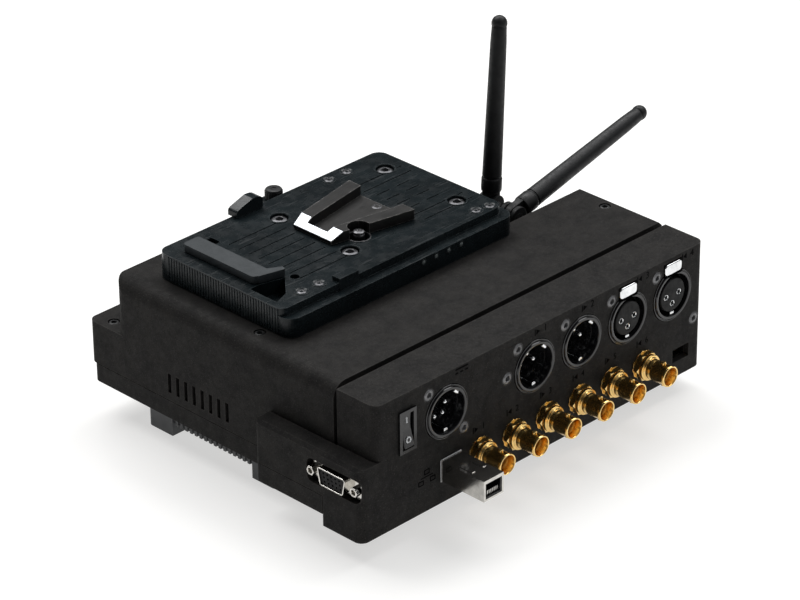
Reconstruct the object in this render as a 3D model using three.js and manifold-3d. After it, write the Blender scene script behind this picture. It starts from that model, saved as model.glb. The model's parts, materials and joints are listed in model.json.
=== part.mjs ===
// A wireless receiver unit for location sound work: a printed nylon case with a panel of audio,
// video and data connectors, a sliding-battery plate on top, a grey foot plate below, and two
// hinged whip antennas in a notch behind the front strip.
// Millimetres, +Z up. +X runs along the connector panel, -Y is the way the panel faces.
import * as THREE from 'three';
import { mergeVertices } from 'three/addons/utils/BufferGeometryUtils.js';
import Module from 'manifold-3d';

const wasm = await Module();
wasm.setup();

// ---- Driving dimensions -------------------------------------------------------------------
const GAP = 0.3;                        // air kept between two touching pieces
const WALL = 3;                         // nylon shell
const WIDTH = 200;                      // case, left to right
const DEPTH = 176;                      // case, panel to back
const HOUSING_BOTTOM = 10;              // connector housing above the table
const HOUSING_TOP = 70.6;
const HOUSING_DEPTH = 22.4;
const SEAM = 2;                         // open joint between connector housing and casing
const CASE_FRONT = HOUSING_DEPTH + SEAM;
const CASE_TOP = 71.5;
const LEDGE_TOP = 44.5;                 // low rear ledge and the top of the side bump
const SPLIT = 24;                       // joint between casing and base cover
const BASE_BOTTOM = 15.5;
const STRIP_BACK = 71;                  // rear face of the high front strip
const BLOCK_RIGHT = 150;                // the high block under the battery plate
const BLOCK_BACK = 159;
const CORNER = 4;                       // vertical corners of the case
const SHOULDER = 7;                     // rounded top left edge of the casing
const BUMP = 9;                         // side bump that carries the data connector
const BUMP_BACK = 62;

const ROW_HIGH = 52.3;                  // height of the round audio connectors
const ROW_LOW = 25.5;                   // height of the coaxial jacks
const PIN_CIRCLE = 4.1;                 // contacts of the round audio connectors
const POWER_X = 40.4;
const OUTPUT_X = [93, 121.9];
const INPUT_X = [150.7, 179.5];
const COAX_FIRST = 59.8;
const COAX_PITCH = 20.25;
const COAX_COUNT = 6;
const ROCKER = { x: 17.3, z: 53.2, wide: 7.8, high: 17.8, tilt: -7 };
const AUDIO = { hole: 12.5, flange: 13, screwX: 10.2, screwZ: 11.8 };
const LATCH = { half: 5.4, z0: 10.4, z1: 15.8, air: 0.5 };
const NETWORK = { x0: 37, x1: 48.6, z0: 20.7, z1: 30.4, reach: 24.5 };
const USB = { x0: 181, x1: 191.5, z0: 17.5, z1: 24 };
const DATA = { y: 16.2, z: 33.9, long: 16.4, high: 8.2, screwPitch: 25 };
const PANEL_SCREWS = [
  ...[POWER_X, ...OUTPUT_X, ...INPUT_X].map((x) => [x - AUDIO.screwX, ROW_HIGH + AUDIO.screwZ]),
  [POWER_X + AUDIO.screwX, ROW_HIGH - AUDIO.screwZ],
  [OUTPUT_X[0] - 16.6, ROW_HIGH + 0.6],
  [194, 35.2],
];

const PLATE = { x0: 13.5, x1: 148, y0: 62.9, y1: 145.4, z0: CASE_TOP + GAP, rim: 80.6, top: 84.1 };
const SHOE = { x0: 67.3, slot: 70.5, ramp: 73.5, x1: 109, y: 105.6, top: 89.1 };
const SHOE_HALF = { closed: 11.5, open: 20 };
const SLOT_HALF = { closed: 6, open: 13 };
const CONTACTS = { x0: 20.5, x1: 29.7, y0: 92, y1: 136, count: 4, pitch: 9, wide: 2.4, high: 3.4 };
const POCKET_DEPTH = 6.5;               // pockets beside the contact block, below the plate's top
const GROOVES = 8;
const GROOVE_MIDDLE = 104.5;
const GROOVE_PITCH = 6.2;
const PLATE_SCREWS = [[70, 85.5], [70, 128.8], [134.6, 85.3], [134.6, 129.3]];
const PIN = { x: 81.5, y: 91.8, radius: 2.6, recess: 4.7, low: 77.2, high: 87 };
const LEVER = { x0: 56.5, x1: 72, y0: 141, y1: 146.5, high: 6.4, travel: 4 };
const LEVER_STEM = { x0: 58.5, x1: 62.5, y0: 141.4, y1: 143 };
const KNOB = { x: 85.8, y: 148.9, radius: 4.1, high: 4.8 };
const CASING_SCREWS = [[10, 77.8, CASE_TOP], [193.4, 51.9, CASE_TOP], [6, 166, LEDGE_TOP]];

const FOOT = { x0: 8, x1: 142.6, y0: 68, y1: 149 };
const ORIGIN_X = (FOOT.x0 + FOOT.x1) / 2;
const ORIGIN_Y = (FOOT.y0 + FOOT.y1) / 2;

const ANTENNAS = [
  { x: 165.8, y: 94.7, lean: 3.5 },
  { x: 164.5, y: 80, lean: 76.2 },
];
const KNUCKLE_Z = 68.5;                 // hinge of each whip above the table
const WHIP_LENGTH = 88.5;
const VENT = { first: 88.7, pitch: 5.1, count: 8, wide: 2, z0: 28.2, z1: 37.4 };
const BOARD = { z0: 32, z1: 33.6 };
const POWER_BOARD = { z0: 60, z1: 61.6 };

// ---- Materials ----------------------------------------------------------------------------
const paint = (color, roughness, metalness = 0) =>
  new THREE.MeshStandardMaterial({ color, roughness, metalness, flatShading: true });
const nylon = paint(0x2a2929, 0.9);
const plateBlack = paint(0x1d2426, 0.45);
const footGrey = paint(0x6d6e70, 0.7);
const darkMetal = paint(0x2f2e2d, 0.35, 0.8);
const steel = paint(0xb9bbbd, 0.3, 1);
const gold = paint(0xd6a243, 0.22, 1);
const nickel = paint(0xc9c4ba, 0.25, 1);
const connectorBlack = paint(0x101113, 0.35);
const antennaBlack = paint(0x141516, 0.55);
const boardGreen = paint(0x1f5a3a, 0.6);

// ---- Shape helpers ------------------------------------------------------------------------
function solidOf(geometry) {
  const bare = geometry.clone();
  bare.deleteAttribute('normal');
  bare.deleteAttribute('uv');
  const merged = mergeVertices(bare, 1e-4);
  const corners = merged.attributes.position;
  const faces = [];
  let volume = 0;
  const a = new THREE.Vector3();
  const b = new THREE.Vector3();
  const c = new THREE.Vector3();
  for (let i = 0; i < merged.index.count; i += 3) {
    const face = [0, 1, 2].map((k) => merged.index.getX(i + k));
    if (new Set(face).size < 3) continue;
    a.fromBufferAttribute(corners, face[0]);
    b.fromBufferAttribute(corners, face[1]);
    c.fromBufferAttribute(corners, face[2]);
    volume += a.dot(b.cross(c));
    faces.push(face);
  }
  if (volume < 0) faces.forEach((face) => face.reverse());
  return new wasm.Manifold(new wasm.Mesh({
    numProp: 3,
    vertProperties: Float32Array.from(corners.array),
    triVerts: Uint32Array.from(faces.flat()),
  }));
}

function geometryOf(solid) {
  const mesh = solid.getMesh();
  const geometry = new THREE.BufferGeometry();
  geometry.setAttribute('position', new THREE.BufferAttribute(mesh.vertProperties, 3));
  geometry.setIndex(new THREE.BufferAttribute(mesh.triVerts, 1));
  geometry.computeVertexNormals();
  return geometry;
}

const joined = (first, ...rest) => rest.reduce((sum, piece) => sum.add(piece), first);
const cut = (first, ...tools) => tools.reduce((left, tool) => left.subtract(tool), first);

function box(x0, x1, y0, y1, z0, z1) {
  const geometry = new THREE.BoxGeometry(x1 - x0, y1 - y0, z1 - z0);
  return solidOf(geometry.translate((x0 + x1) / 2, (y0 + y1) / 2, (z0 + z1) / 2));
}

// A straight round or many-sided bar from one point along an axis.
function bar(axis, [x, y, z], length, radius, sides = 24) {
  const geometry = new THREE.CylinderGeometry(radius, radius, length, sides);
  geometry.translate(0, length / 2, 0);
  if (axis === 'x') geometry.rotateZ(-Math.PI / 2);
  if (axis === 'z') geometry.rotateX(Math.PI / 2);
  return solidOf(geometry.translate(x, y, z));
}

// A turned shape. Its profile is [radius, distance along the axis].
function turned(profile, sides = 32) {
  return new THREE.LatheGeometry(profile.map(([r, t]) => new THREE.Vector2(r, t)), sides);
}

// The same, standing up from a point.
const upright = (profile, x, y, z, sides) =>
  solidOf(turned(profile, sides).rotateX(Math.PI / 2).translate(x, y, z));

// The same, facing out of the connector panel, with distance 0 on the panel's face.
const outward = (profile, x, z, sides) =>
  solidOf(turned(profile, sides).rotateX(Math.PI).translate(x, 0, z));

// A plan outline with its own radius at each corner: front left, front right, back right, back left.
function plan(x0, x1, y0, y1, [fl, fr, br, bl]) {
  const shape = new THREE.Shape();
  const corners = [
    [x1 - fr, y0 + fr, fr, 1.5 * Math.PI], [x1 - br, y1 - br, br, 0],
    [x0 + bl, y1 - bl, bl, 0.5 * Math.PI], [x0 + fl, y0 + fl, fl, Math.PI],
  ];
  shape.moveTo(x0 + fl, y0);
  for (const [x, y, radius, start] of corners) {
    shape.lineTo(x + radius * Math.cos(start), y + radius * Math.sin(start));
    if (radius > 0) {
      shape.absarc(x, y, radius, start, start + Math.PI / 2, false);
    }
  }
  return shape;
}

function raised(shape, z0, z1, curveSegments = 4) {
  const options = { depth: z1 - z0, bevelEnabled: false, curveSegments };
  const geometry = new THREE.ExtrudeGeometry(shape, options);
  return solidOf(geometry.translate(0, 0, z0));
}

const block = (x0, x1, y0, y1, z0, z1, radii) => raised(plan(x0, x1, y0, y1, radii), z0, z1);

function polygon(points) {
  return new THREE.Shape(points.map(([u, v]) => new THREE.Vector2(u, v)));
}

// An outline drawn in X and Z, pulled along Y.
function pulledAlongY(shape, y0, y1, curveSegments = 5) {
  const options = { depth: y1 - y0, bevelEnabled: false, curveSegments };
  const geometry = new THREE.ExtrudeGeometry(shape, options);
  return solidOf(geometry.rotateX(Math.PI / 2).translate(0, y1, 0));
}

// An outline drawn in Y and Z, pulled along X.
function pulledAlongX(shape, x0, x1, curveSegments = 5) {
  const options = { depth: x1 - x0, bevelEnabled: false, curveSegments };
  const geometry = new THREE.ExtrudeGeometry(shape, options);
  geometry.rotateY(Math.PI / 2).rotateX(Math.PI / 2);
  return solidOf(geometry.translate(x0, 0, 0));
}

// ---- The unit -----------------------------------------------------------------------------
const unit = new THREE.Group();
unit.position.set(-ORIGIN_X, -ORIGIN_Y, 0);

function add(name, solid, material, parent = unit) {
  const mesh = new THREE.Mesh(geometryOf(solid), material);
  mesh.name = name;
  parent.add(mesh);
  return mesh;
}

const coaxX = Array.from({ length: COAX_COUNT }, (_, i) => COAX_FIRST + i * COAX_PITCH);
const rockerHole = (wide, high, y0, y1) => box(
  ROCKER.x - wide / 2, ROCKER.x + wide / 2, y0, y1, ROCKER.z - high / 2, ROCKER.z + high / 2);

// Connector housing: the front frame with every panel hole, and the bump on its left.
function connectorHousing() {
  const frame = block(0, WIDTH, 0, HOUSING_DEPTH, HOUSING_BOTTOM, HOUSING_TOP, [CORNER, CORNER, 0, 0]);
  const bumpFront = block(-BUMP, 6, 0, HOUSING_DEPTH, HOUSING_BOTTOM, LEDGE_TOP, [CORNER, 0, 0, 0]);
  const cheek = block(-BUMP, -GAP, HOUSING_DEPTH - 1, BUMP_BACK, SPLIT + GAP, LEDGE_TOP, [0, 0, 0, 2]);
  const bevel = 1.6;
  const bumpProfile = polygon([
    [-BUMP, HOUSING_BOTTOM], [7, HOUSING_BOTTOM], [7, LEDGE_TOP],
    [bevel - BUMP, LEDGE_TOP], [-BUMP, LEDGE_TOP - bevel],
  ]);
  const bump = joined(bumpFront, cheek).intersect(pulledAlongY(bumpProfile, -1, BUMP_BACK + 1));
  const hollow = box(WALL, WIDTH - WALL, WALL, HOUSING_DEPTH + 1,
    HOUSING_BOTTOM + WALL, HOUSING_TOP - WALL);
  const holes = [];
  const through = WALL + 2;
  for (const x of [POWER_X, ...OUTPUT_X, ...INPUT_X]) {
    holes.push(bar('y', [x, -1, ROW_HIGH], through, AUDIO.hole, 24));
  }
  for (const x of INPUT_X) {
    const half = LATCH.half + LATCH.air;
    holes.push(box(x - half, x + half, -1, WALL + 3.5,
      ROW_HIGH + LATCH.z0 - 0.6, ROW_HIGH + LATCH.z1 + LATCH.air));
  }
  for (const x of coaxX) {
    holes.push(bar('y', [x, -1, ROW_LOW], through, 5.1, 12));
  }
  for (const [x, z] of PANEL_SCREWS) {
    holes.push(bar('y', [x, -1, z], 2.8, 3, 8), bar('y', [x, -1, z], through, 1.8, 6));
  }
  holes.push(
    box(NETWORK.x0 - GAP, NETWORK.x1 + GAP, -1, WALL + 1, NETWORK.z0 - GAP, NETWORK.z1 + GAP),
    box(USB.x0, USB.x1, -1, WALL + 1, USB.z0, USB.z1),
    rockerHole(ROCKER.wide + 0.6, ROCKER.high + 0.6, -1, WALL + 1),
  );
  return cut(joined(frame, bump), hollow, dataRecess(), dataPassage(), ...holes);
}

// The data connector sits in an oval recess in the side of the bump.
function dataRecess() {
  const half = DATA.screwPitch / 2 + 2.7;
  const outline = plan(DATA.y - half, DATA.y + half, DATA.z - 5.5, DATA.z + 5.5, [3, 3, 3, 3]);
  return pulledAlongX(outline, -BUMP - 1, -BUMP + 3.4);
}

const dataPassage = () =>
  box(-BUMP, WALL + 1, DATA.y - 6.4, DATA.y + 6.4, DATA.z - 4.4, DATA.z + 4.4);

// Casing: low tray-high walls all round, with the high L-shaped top grown out of them.
function casingMass(inset, front, low) {
  const far = CORNER - Math.min(inset, CORNER - 1);
  const ledge = block(inset, WIDTH - inset, front, DEPTH - inset, low, LEDGE_TOP - inset, [0, 0, far, far]);
  const strip = box(inset, WIDTH - inset, front, STRIP_BACK - inset, low, CASE_TOP - inset);
  const high = block(inset, BLOCK_RIGHT - inset, front, BLOCK_BACK - inset, low, CASE_TOP - inset,
    [0, 0, far, SHOULDER - inset]);
  const round = SHOULDER - inset;
  const top = CASE_TOP - inset;
  const crown = new THREE.Shape();
  crown.moveTo(inset, low - 1);
  crown.lineTo(WIDTH - inset, low - 1);
  crown.lineTo(WIDTH - inset, top - 2);
  crown.lineTo(WIDTH - inset - 2, top);
  crown.lineTo(inset + round, top);
  crown.absarc(inset + round, top - round, round, Math.PI / 2, Math.PI, false);
  crown.lineTo(inset, low - 1);
  return joined(ledge, strip, high).intersect(pulledAlongY(crown, front - 1, DEPTH + 1));
}

function mainCasing() {
  const low = SPLIT + GAP;
  const shell = cut(casingMass(0, CASE_FRONT, low), casingMass(WALL, CASE_FRONT - 1, low - 1));
  const lipOut = WALL + GAP;
  const lipIn = lipOut + 1.6;
  const lip = cut(
    box(lipOut, WIDTH - lipOut, CASE_FRONT - 6, CASE_FRONT + 2, low, HOUSING_TOP - lipOut),
    box(lipIn, WIDTH - lipIn, CASE_FRONT - 7, CASE_FRONT + 3, low - 1, HOUSING_TOP - lipIn),
  );
  const collar = cut(
    box(1, WIDTH - 1, CASE_FRONT, CASE_FRONT + 2, low, CASE_TOP - 1.5),
    box(lipIn, WIDTH - lipIn, CASE_FRONT - 1, CASE_FRONT + 3, low - 1, HOUSING_TOP - lipIn),
  ).intersect(casingMass(0, CASE_FRONT, low));
  const posts = PLATE_SCREWS.map(([x, y]) => bar('z', [x, y, POWER_BOARD.z1 + GAP],
    CASE_TOP - WALL - POWER_BOARD.z1, 3.4, 10));
  const holes = [];
  for (let i = 0; i < VENT.count; i += 1) {
    const y = VENT.first + i * VENT.pitch;
    for (const x of [-1, WIDTH - WALL - 1]) {
      holes.push(box(x, x + WALL + 2, y - VENT.wide / 2, y + VENT.wide / 2, VENT.z0, VENT.z1));
    }
  }
  for (const [x, y] of PLATE_SCREWS) {
    holes.push(bar('z', [x, y, POWER_BOARD.z0], 13, 2, 8));
  }
  for (const [x, y, z] of CASING_SCREWS) {
    holes.push(bar('z', [x, y, z - 2.2], 4, 2.8, 10), bar('z', [x, y, z - 5], 6, 1.7, 8));
  }
  for (const { x, y } of ANTENNAS) {
    holes.push(bar('z', [x, y, LEDGE_TOP - 5], 7, 3.6, 12));
  }
  return cut(joined(shell, lip, collar, ...posts), ...holes);
}

// Base cover: a shallow tray under the casing, with posts for the main board.
function baseCover() {
  const front = HOUSING_DEPTH + GAP;
  const back = DEPTH - 1.5;
  const tray = block(0, WIDTH, front, back, BASE_BOTTOM, SPLIT, [0, 0, CORNER, CORNER]);
  const wing = block(-BUMP, 4, front, BUMP_BACK, BASE_BOTTOM, SPLIT, [0, 0, 0, 2]);
  const hollow = box(WALL, WIDTH - WALL, front + WALL, back - WALL, BASE_BOTTOM + WALL, SPLIT + 1);
  const posts = [];
  const postHigh = BOARD.z0 - GAP - BASE_BOTTOM - 1;
  for (const x of [16, WIDTH / 2, WIDTH - 16]) {
    for (const y of [38, 160]) {
      posts.push(bar('z', [x, y, BASE_BOTTOM + 1], postHigh, 3, 12));
    }
  }
  return joined(cut(joined(tray, wing), hollow), ...posts);
}

// Foot plate: a grey slab with a ribbed recess at its left end and a wedge pocket at its right.
function footPlate() {
  const top = BASE_BOTTOM - GAP;
  const slab = block(FOOT.x0, FOOT.x1, FOOT.y0, FOOT.y1, 0, top, [3, 5, 5, 3]);
  const recess = box(FOOT.x0 - 1, FOOT.x0 + 14, FOOT.y0 + 15, FOOT.y1 - 16, -1, 5.5);
  const face = box(FOOT.x0 - 1, FOOT.x0 + 1.5, FOOT.y0 + 15, FOOT.y1 - 16, -1, top + 1);
  const pocket = box(90, FOOT.x1 + 1, ORIGIN_Y - 24, ORIGIN_Y + 24, -1, 7);
  const ribs = [];
  for (let y = FOOT.y0 + 17; y < FOOT.y1 - 17; y += 3) {
    ribs.push(box(FOOT.x0 + 0.6, FOOT.x0 + 3, y, y + 1.5, 5.5, 11));
  }
  return joined(cut(slab, recess, face, pocket), ...ribs);
}

// Wedge: the tapered metal tongue in the foot's pocket, by which the unit hangs on a camera.
function footWedge() {
  const outline = polygon([
    [96, ORIGIN_Y - 8], [134, ORIGIN_Y - 15], [134, ORIGIN_Y + 15], [96, ORIGIN_Y + 8],
  ]);
  return raised(outline, 0.8, 7 - GAP);
}

// Battery plate: a stepped slab with long grooves, recessed screw seats and a slot for the lever.
function batteryPlate() {
  const base = block(PLATE.x0, PLATE.x1, PLATE.y0, PLATE.y1, PLATE.z0, PLATE.rim, [6, 6, 6, 6]);
  const field = block(PLATE.x0, PLATE.x1 - 2, PLATE.y0 + 5, PLATE.y1 - 1, PLATE.z0, PLATE.top,
    [4, 5, 5, 5]);
  const nub = box(46.5, 57.5, PLATE.y0 + 4.6, PLATE.y0 + 9.2, PLATE.z0 + 4, PLATE.top + 2);
  const lug = block(KNOB.x - 5, KNOB.x + 5, PLATE.y1 - 1, KNOB.y + 4.6, PLATE.z0 + 4, PLATE.rim,
    [0, 0, 3, 3]);
  const tools = [];
  const groove = (x0, x1, y) => box(x0, x1, y - 0.4, y + 0.4, PLATE.top - 0.7, PLATE.top + 1);
  for (let i = 0; i < GROOVES; i += 1) {
    const y = GROOVE_MIDDLE + (i - (GROOVES - 1) / 2) * GROOVE_PITCH;
    const inner = i > 1 && i < GROOVES - 2;
    if (inner) {
      tools.push(groove(38, 65, y), groove(114, 122, y), groove(126, 134, y));
    } else {
      tools.push(groove(38, 66, y), groove(112, 142, y));
    }
  }
  for (const [x, y] of PLATE_SCREWS) {
    tools.push(bar('z', [x, y, PLATE.top - 3.2], 5, 4.2, 14), bar('z', [x, y, PLATE.z0 - 1], 12, 2, 8));
  }
  tools.push(
    bar('z', [PIN.x, PIN.y, PLATE.z0 + 1.2], 14, PIN.recess, 16),
    box(LEVER_STEM.x0 - 0.4, LEVER_STEM.x1 + LEVER.travel + 0.4,
      LEVER_STEM.y0 - 0.4, LEVER_STEM.y1 + 0.4, PLATE.z0 + 3, PLATE.top + 1),
    raised(polygon([[17, 74.5], [25, 77.5], [34, 87.6], [22, 90.9], [17, 90.9]]),
      PLATE.top - POCKET_DEPTH, PLATE.top + 1),
    box(30.6, 37.4, 130.5, 136.5, PLATE.top - POCKET_DEPTH / 2, PLATE.top + 1),
    bar('z', [37.6, 85.4, PLATE.top - 2], 3, 2.2, 10),
  );
  return cut(joined(base, field, nub, lug), ...tools);
}

// Shoe: the raised metal fork that takes the battery's wedge, with a ramp at its closed end.
function batteryShoe() {
  const outer = polygon([
    [SHOE.x0, SHOE.y - SHOE_HALF.closed], [SHOE.x1, SHOE.y - SHOE_HALF.open],
    [SHOE.x1, SHOE.y + SHOE_HALF.open], [SHOE.x0, SHOE.y + SHOE_HALF.closed],
  ]);
  const slot = polygon([
    [SHOE.slot, SHOE.y - SLOT_HALF.closed], [SHOE.x1 + 1, SHOE.y - SLOT_HALF.open],
    [SHOE.x1 + 1, SHOE.y + SLOT_HALF.open], [SHOE.slot, SHOE.y + SLOT_HALF.closed],
  ]);
  const low = PLATE.top + GAP;
  const ramp = polygon([
    [SHOE.x0 - 1, low + 1.2], [SHOE.ramp, SHOE.top], [SHOE.ramp, SHOE.top + 2], [SHOE.x0 - 1, SHOE.top + 2],
  ]);
  return cut(
    raised(outer, low, SHOE.top),
    raised(slot, low - 1, SHOE.top + 1),
    pulledAlongY(ramp, SHOE.y - 30, SHOE.y + 30),
    bar('z', [PIN.x, PIN.y, low - 1], 8, PIN.recess + 0.4, 16),
  );
}

// Contact block: the raised bar at the plate's left end, with a short arm at its near end and
// blind slots for the battery contacts in the side that faces the shoe.
function contactBlock() {
  const low = PLATE.top + GAP;
  const { x0, x1, y0, y1, count, pitch, wide, high } = CONTACTS;
  const body = block(x0, x1, y0, y1, low, low + high, [2, 1, 1, 2]);
  const arm = polygon([[x0 + 1, y0 + 2], [x0 + 2.2, y0 - 0.6], [34.7, 88.2], [35.6, 90.4], [x1, y0 + 2]]);
  const slots = [];
  for (let i = 0; i < count; i += 1) {
    const y = (y0 + y1) / 2 + (i - (count - 1) / 2) * pitch;
    slots.push(box(x1 - 4, x1 + 1, y - wide / 2, y + wide / 2, low + 0.8, low + high - 0.9));
  }
  return cut(joined(body, raised(arm, low, low + high)), ...slots);
}

// Release lever: a thumb tab on the plate's far edge, with a stem down into the plate.
function releaseLever() {
  const low = PLATE.top + GAP;
  const tab = new THREE.Shape();
  tab.moveTo(LEVER.x0, low);
  tab.lineTo(LEVER.x1, low);
  tab.lineTo(LEVER.x1, low + LEVER.high - 2.2);
  tab.quadraticCurveTo(LEVER.x1 - 1, low + LEVER.high, LEVER.x1 - 6, low + LEVER.high - 0.2);
  tab.lineTo(LEVER.x0 + 2, low + 3.8);
  tab.quadraticCurveTo(LEVER.x0, low + 3.2, LEVER.x0, low + 2);
  return joined(
    pulledAlongY(tab, LEVER.y0, LEVER.y1),
    box(LEVER_STEM.x0, LEVER_STEM.x1, LEVER_STEM.y0, LEVER_STEM.y1, PLATE.z0 + 4, low + 1),
  );
}

const lockPin = () => upright([
  [0, PIN.low], [PIN.radius, PIN.low], [PIN.radius, PIN.high - 0.8],
  [PIN.radius - 0.7, PIN.high], [0, PIN.high],
], PIN.x, PIN.y, 0, 20);

const stopKnob = () => upright([
  [0, 0], [KNOB.radius - 0.2, 0], [KNOB.radius, 0.6], [KNOB.radius, KNOB.high - 0.8],
  [KNOB.radius - 0.8, KNOB.high], [0, KNOB.high],
], KNOB.x, KNOB.y, PLATE.rim + GAP, 20);

// Round audio connectors: a mounting flange behind the panel and a round shell through it.
function audioFlange(x, cutTop) {
  const { flange, screwX, screwZ } = AUDIO;
  const plate = box(x - flange, x + flange, WALL + GAP, WALL + 2, ROW_HIGH - 15, ROW_HIGH + 15);
  const holes = [-1, 1].map((side) =>
    bar('y', [x + side * screwX, 0, ROW_HIGH - side * screwZ], 10, 1.8, 8));
  holes.push(bar('y', [x, 0, ROW_HIGH], 10, 10.8, 24));
  if (cutTop) {
    holes.push(box(x - 6.1, x + 6.1, 0, 10, ROW_HIGH + 9.9, ROW_HIGH + 17));
  }
  return cut(plate, ...holes);
}

function plugConnector(x, pinAngles) {
  const shell = outward([[0, -20], [9.8, -20], [9.8, -5], [12, -5], [12, 0.6], [11.5, 1.1], [10.2, 1.1],
    [9.6, 0.5], [9.6, -13], [0, -13]], x, ROW_HIGH, 20);
  const pins = pinAngles.map((angle) => {
    const a = THREE.MathUtils.degToRad(angle);
    return outward([[0, -14], [1.2, -14], [1.2, -4.6], [0.7, -3.9], [0, -3.9]],
      x + PIN_CIRCLE * Math.cos(a), ROW_HIGH + PIN_CIRCLE * Math.sin(a), 6);
  });
  return joined(shell, audioFlange(x, false), ...pins);
}

function socketConnector(x) {
  const shell = outward([[0, -20], [9.8, -20], [9.8, -5], [12, -5], [12, 0.6], [11.5, 1.1], [10.2, 1.1],
    [9.7, 0.5], [9.7, -11], [7.8, -11], [7.8, 0.2], [7.4, 0.5], [0, 0.5]], x, ROW_HIGH, 20);
  const holes = [0, 180, 270].map((angle) => {
    const a = THREE.MathUtils.degToRad(angle);
    return bar('y', [x + PIN_CIRCLE * Math.cos(a), -2, ROW_HIGH + PIN_CIRCLE * Math.sin(a)], 9, 1.4, 8);
  });
  const notch = box(x - 6.1, x + 6.1, -3, 6, ROW_HIGH + 9.9, ROW_HIGH + 13);
  return cut(joined(shell, audioFlange(x, true)), notch, ...holes);
}

function latchTab(x) {
  const outline = plan(x - LATCH.half, x + LATCH.half, ROW_HIGH + LATCH.z0, ROW_HIGH + LATCH.z1,
    [1.8, 1.8, 1.8, 1.8]);
  return pulledAlongY(outline, -1.4, 4, 3);
}

// Coaxial jack: threaded body, hexagonal shoulder, bayonet barrel with two lugs.
function coaxJack(x) {
  const body = outward([[0, -16], [2.2, -16], [2.2, -12], [4.5, -12], [4.5, 3.7], [5.9, 3.7], [5.9, 5.2],
    [4.55, 5.8], [4.55, 15], [4.85, 15.2], [4.85, 16.4], [3.95, 16.4], [3.95, 7], [2.1, 7], [2.1, 11],
    [0, 11]], x, ROW_LOW, 12);
  const lugs = [-1, 1].map((side) => bar('z', [x, -12.4, ROW_LOW + (side > 0 ? 4.3 : -5.8)], 1.5, 1, 6));
  return joined(body, ...lugs);
}

function coaxNut(x) {
  return cut(
    bar('y', [x, -3.4, ROW_LOW], 3.1, 6.9, 6),
    bar('y', [x, -4, ROW_LOW], 5, 4.9, 12),
  );
}

function networkJack() {
  const { x0, x1, z0, z1, reach } = NETWORK;
  return cut(
    box(x0, x1, -reach, 12, z0, z1),
    box(x0 + 1, x1 - 1, -reach - 1, -reach + 13, z0 + 0.9, z1 - 1.5),
  );
}

function usbSocket() {
  const back = WALL + GAP;
  return cut(
    box(USB.x0 - 1, USB.x1 + 1, back, back + 13, USB.z0 - 1, USB.z1 + 1),
    box(USB.x0 + 0.7, USB.x1 - 0.7, back - 1, back + 9, USB.z0 + 0.6, USB.z1 - 0.6),
  );
}

// Data connector: flange in the bump's recess, slanted-end shell, rear body and two jack posts.
function dataConnector() {
  const { y, z, long, high, screwPitch } = DATA;
  const floor = -BUMP + 3.4;
  const flange = box(floor - 1.1, floor - GAP, y - 14.2, y + 14.2, z - 4.5, z + 4.5);
  const half = long / 2;
  const shell = polygon([[y - half, z + high / 2], [y - half + 1.6, z - high / 2],
    [y + half - 1.6, z - high / 2], [y + half, z + high / 2]]);
  const mouth = polygon([[y - half + 0.9, z + high / 2 - 0.7], [y - half + 2.1, z - high / 2 + 0.7],
    [y + half - 2.1, z - high / 2 + 0.7], [y + half - 0.9, z + high / 2 - 0.7]]);
  const posts = [-1, 1].map((side) => cut(
    bar('x', [floor - 4.2, y + side * screwPitch / 2, z], 3.6, 2.3, 6),
    bar('x', [floor - 5, y + side * screwPitch / 2, z], 3.4, 1.2, 10),
  ));
  return cut(
    joined(flange, pulledAlongX(shell, floor - 4.6, floor - 0.5),
      box(floor - 0.6, WALL - GAP, y - 6, y + 6, z - 4, z + 4), ...posts),
    pulledAlongX(mouth, floor - 5.4, floor - 2.8),
  );
}

function rockerBezel() {
  const { x, z, wide, high } = ROCKER;
  const rim = box(x - wide / 2 - 0.9, x + wide / 2 + 0.9, -1.1, -GAP,
    z - high / 2 - 0.9, z + high / 2 + 0.9);
  return cut(
    joined(rim, rockerHole(wide, high, -GAP - 0.1, 12)),
    rockerHole(wide - 1.4, high - 1.2, -2, 10.5),
  );
}

// Rocker: a shallow V-faced key that pivots in the bezel, drawn about its pivot.
function rockerKey() {
  const half = ROCKER.high / 2 - 1.2;
  const outline = polygon([
    [-3.4, -half], [-2.2, 0], [-3.4, half], [0.6, half], [5, 3.2], [5, -3.2], [0.6, -half],
  ]);
  return pulledAlongX(outline, -ROCKER.wide / 2 + 1.1, ROCKER.wide / 2 - 1.1);
}

function panelScrew([x, z]) {
  return cut(
    outward([[0, -8], [1.2, -8], [1.2, -1.4], [2.5, -1.4], [2.5, 0.3], [0, 0.3]], x, z, 8),
    bar('y', [x, -1, z], 1.8, 1.2, 6),
  );
}

function casingScrew([x, y, z]) {
  return cut(
    upright([[0, -9], [1.3, -9], [1.3, -2], [2.4, -2], [2.4, -0.3], [0, -0.3]], x, y, z, 10),
    bar('z', [x, y, z - 1.4], 2, 1.2, 6),
  );
}

function plateScrew([x, y]) {
  const seat = PLATE.top - 2.9;
  return cut(
    upright([[0, POWER_BOARD.z0 - 3], [1.6, POWER_BOARD.z0 - 3], [1.6, seat], [3.6, seat],
      [3.6, seat + 1.6], [2.6, seat + 2.4], [0, seat + 2.4]], x, y, 0, 10),
    bar('z', [x, y, seat + 1], 2, 1.6, 6),
  );
}

// ---- Antennas -----------------------------------------------------------------------------
function antennaJack({ x, y }) {
  return joined(
    upright([[0, 35], [1, 35], [1, 38], [3.1, 38], [3.1, 53.5], [0, 53.5]], x, y, 0, 12),
    bar('z', [x, y, LEDGE_TOP + GAP], 2.2, 5.4, 6),
    bar('z', [x, y, LEDGE_TOP - WALL - GAP - 2], 2, 5, 6),
  );
}

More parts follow.
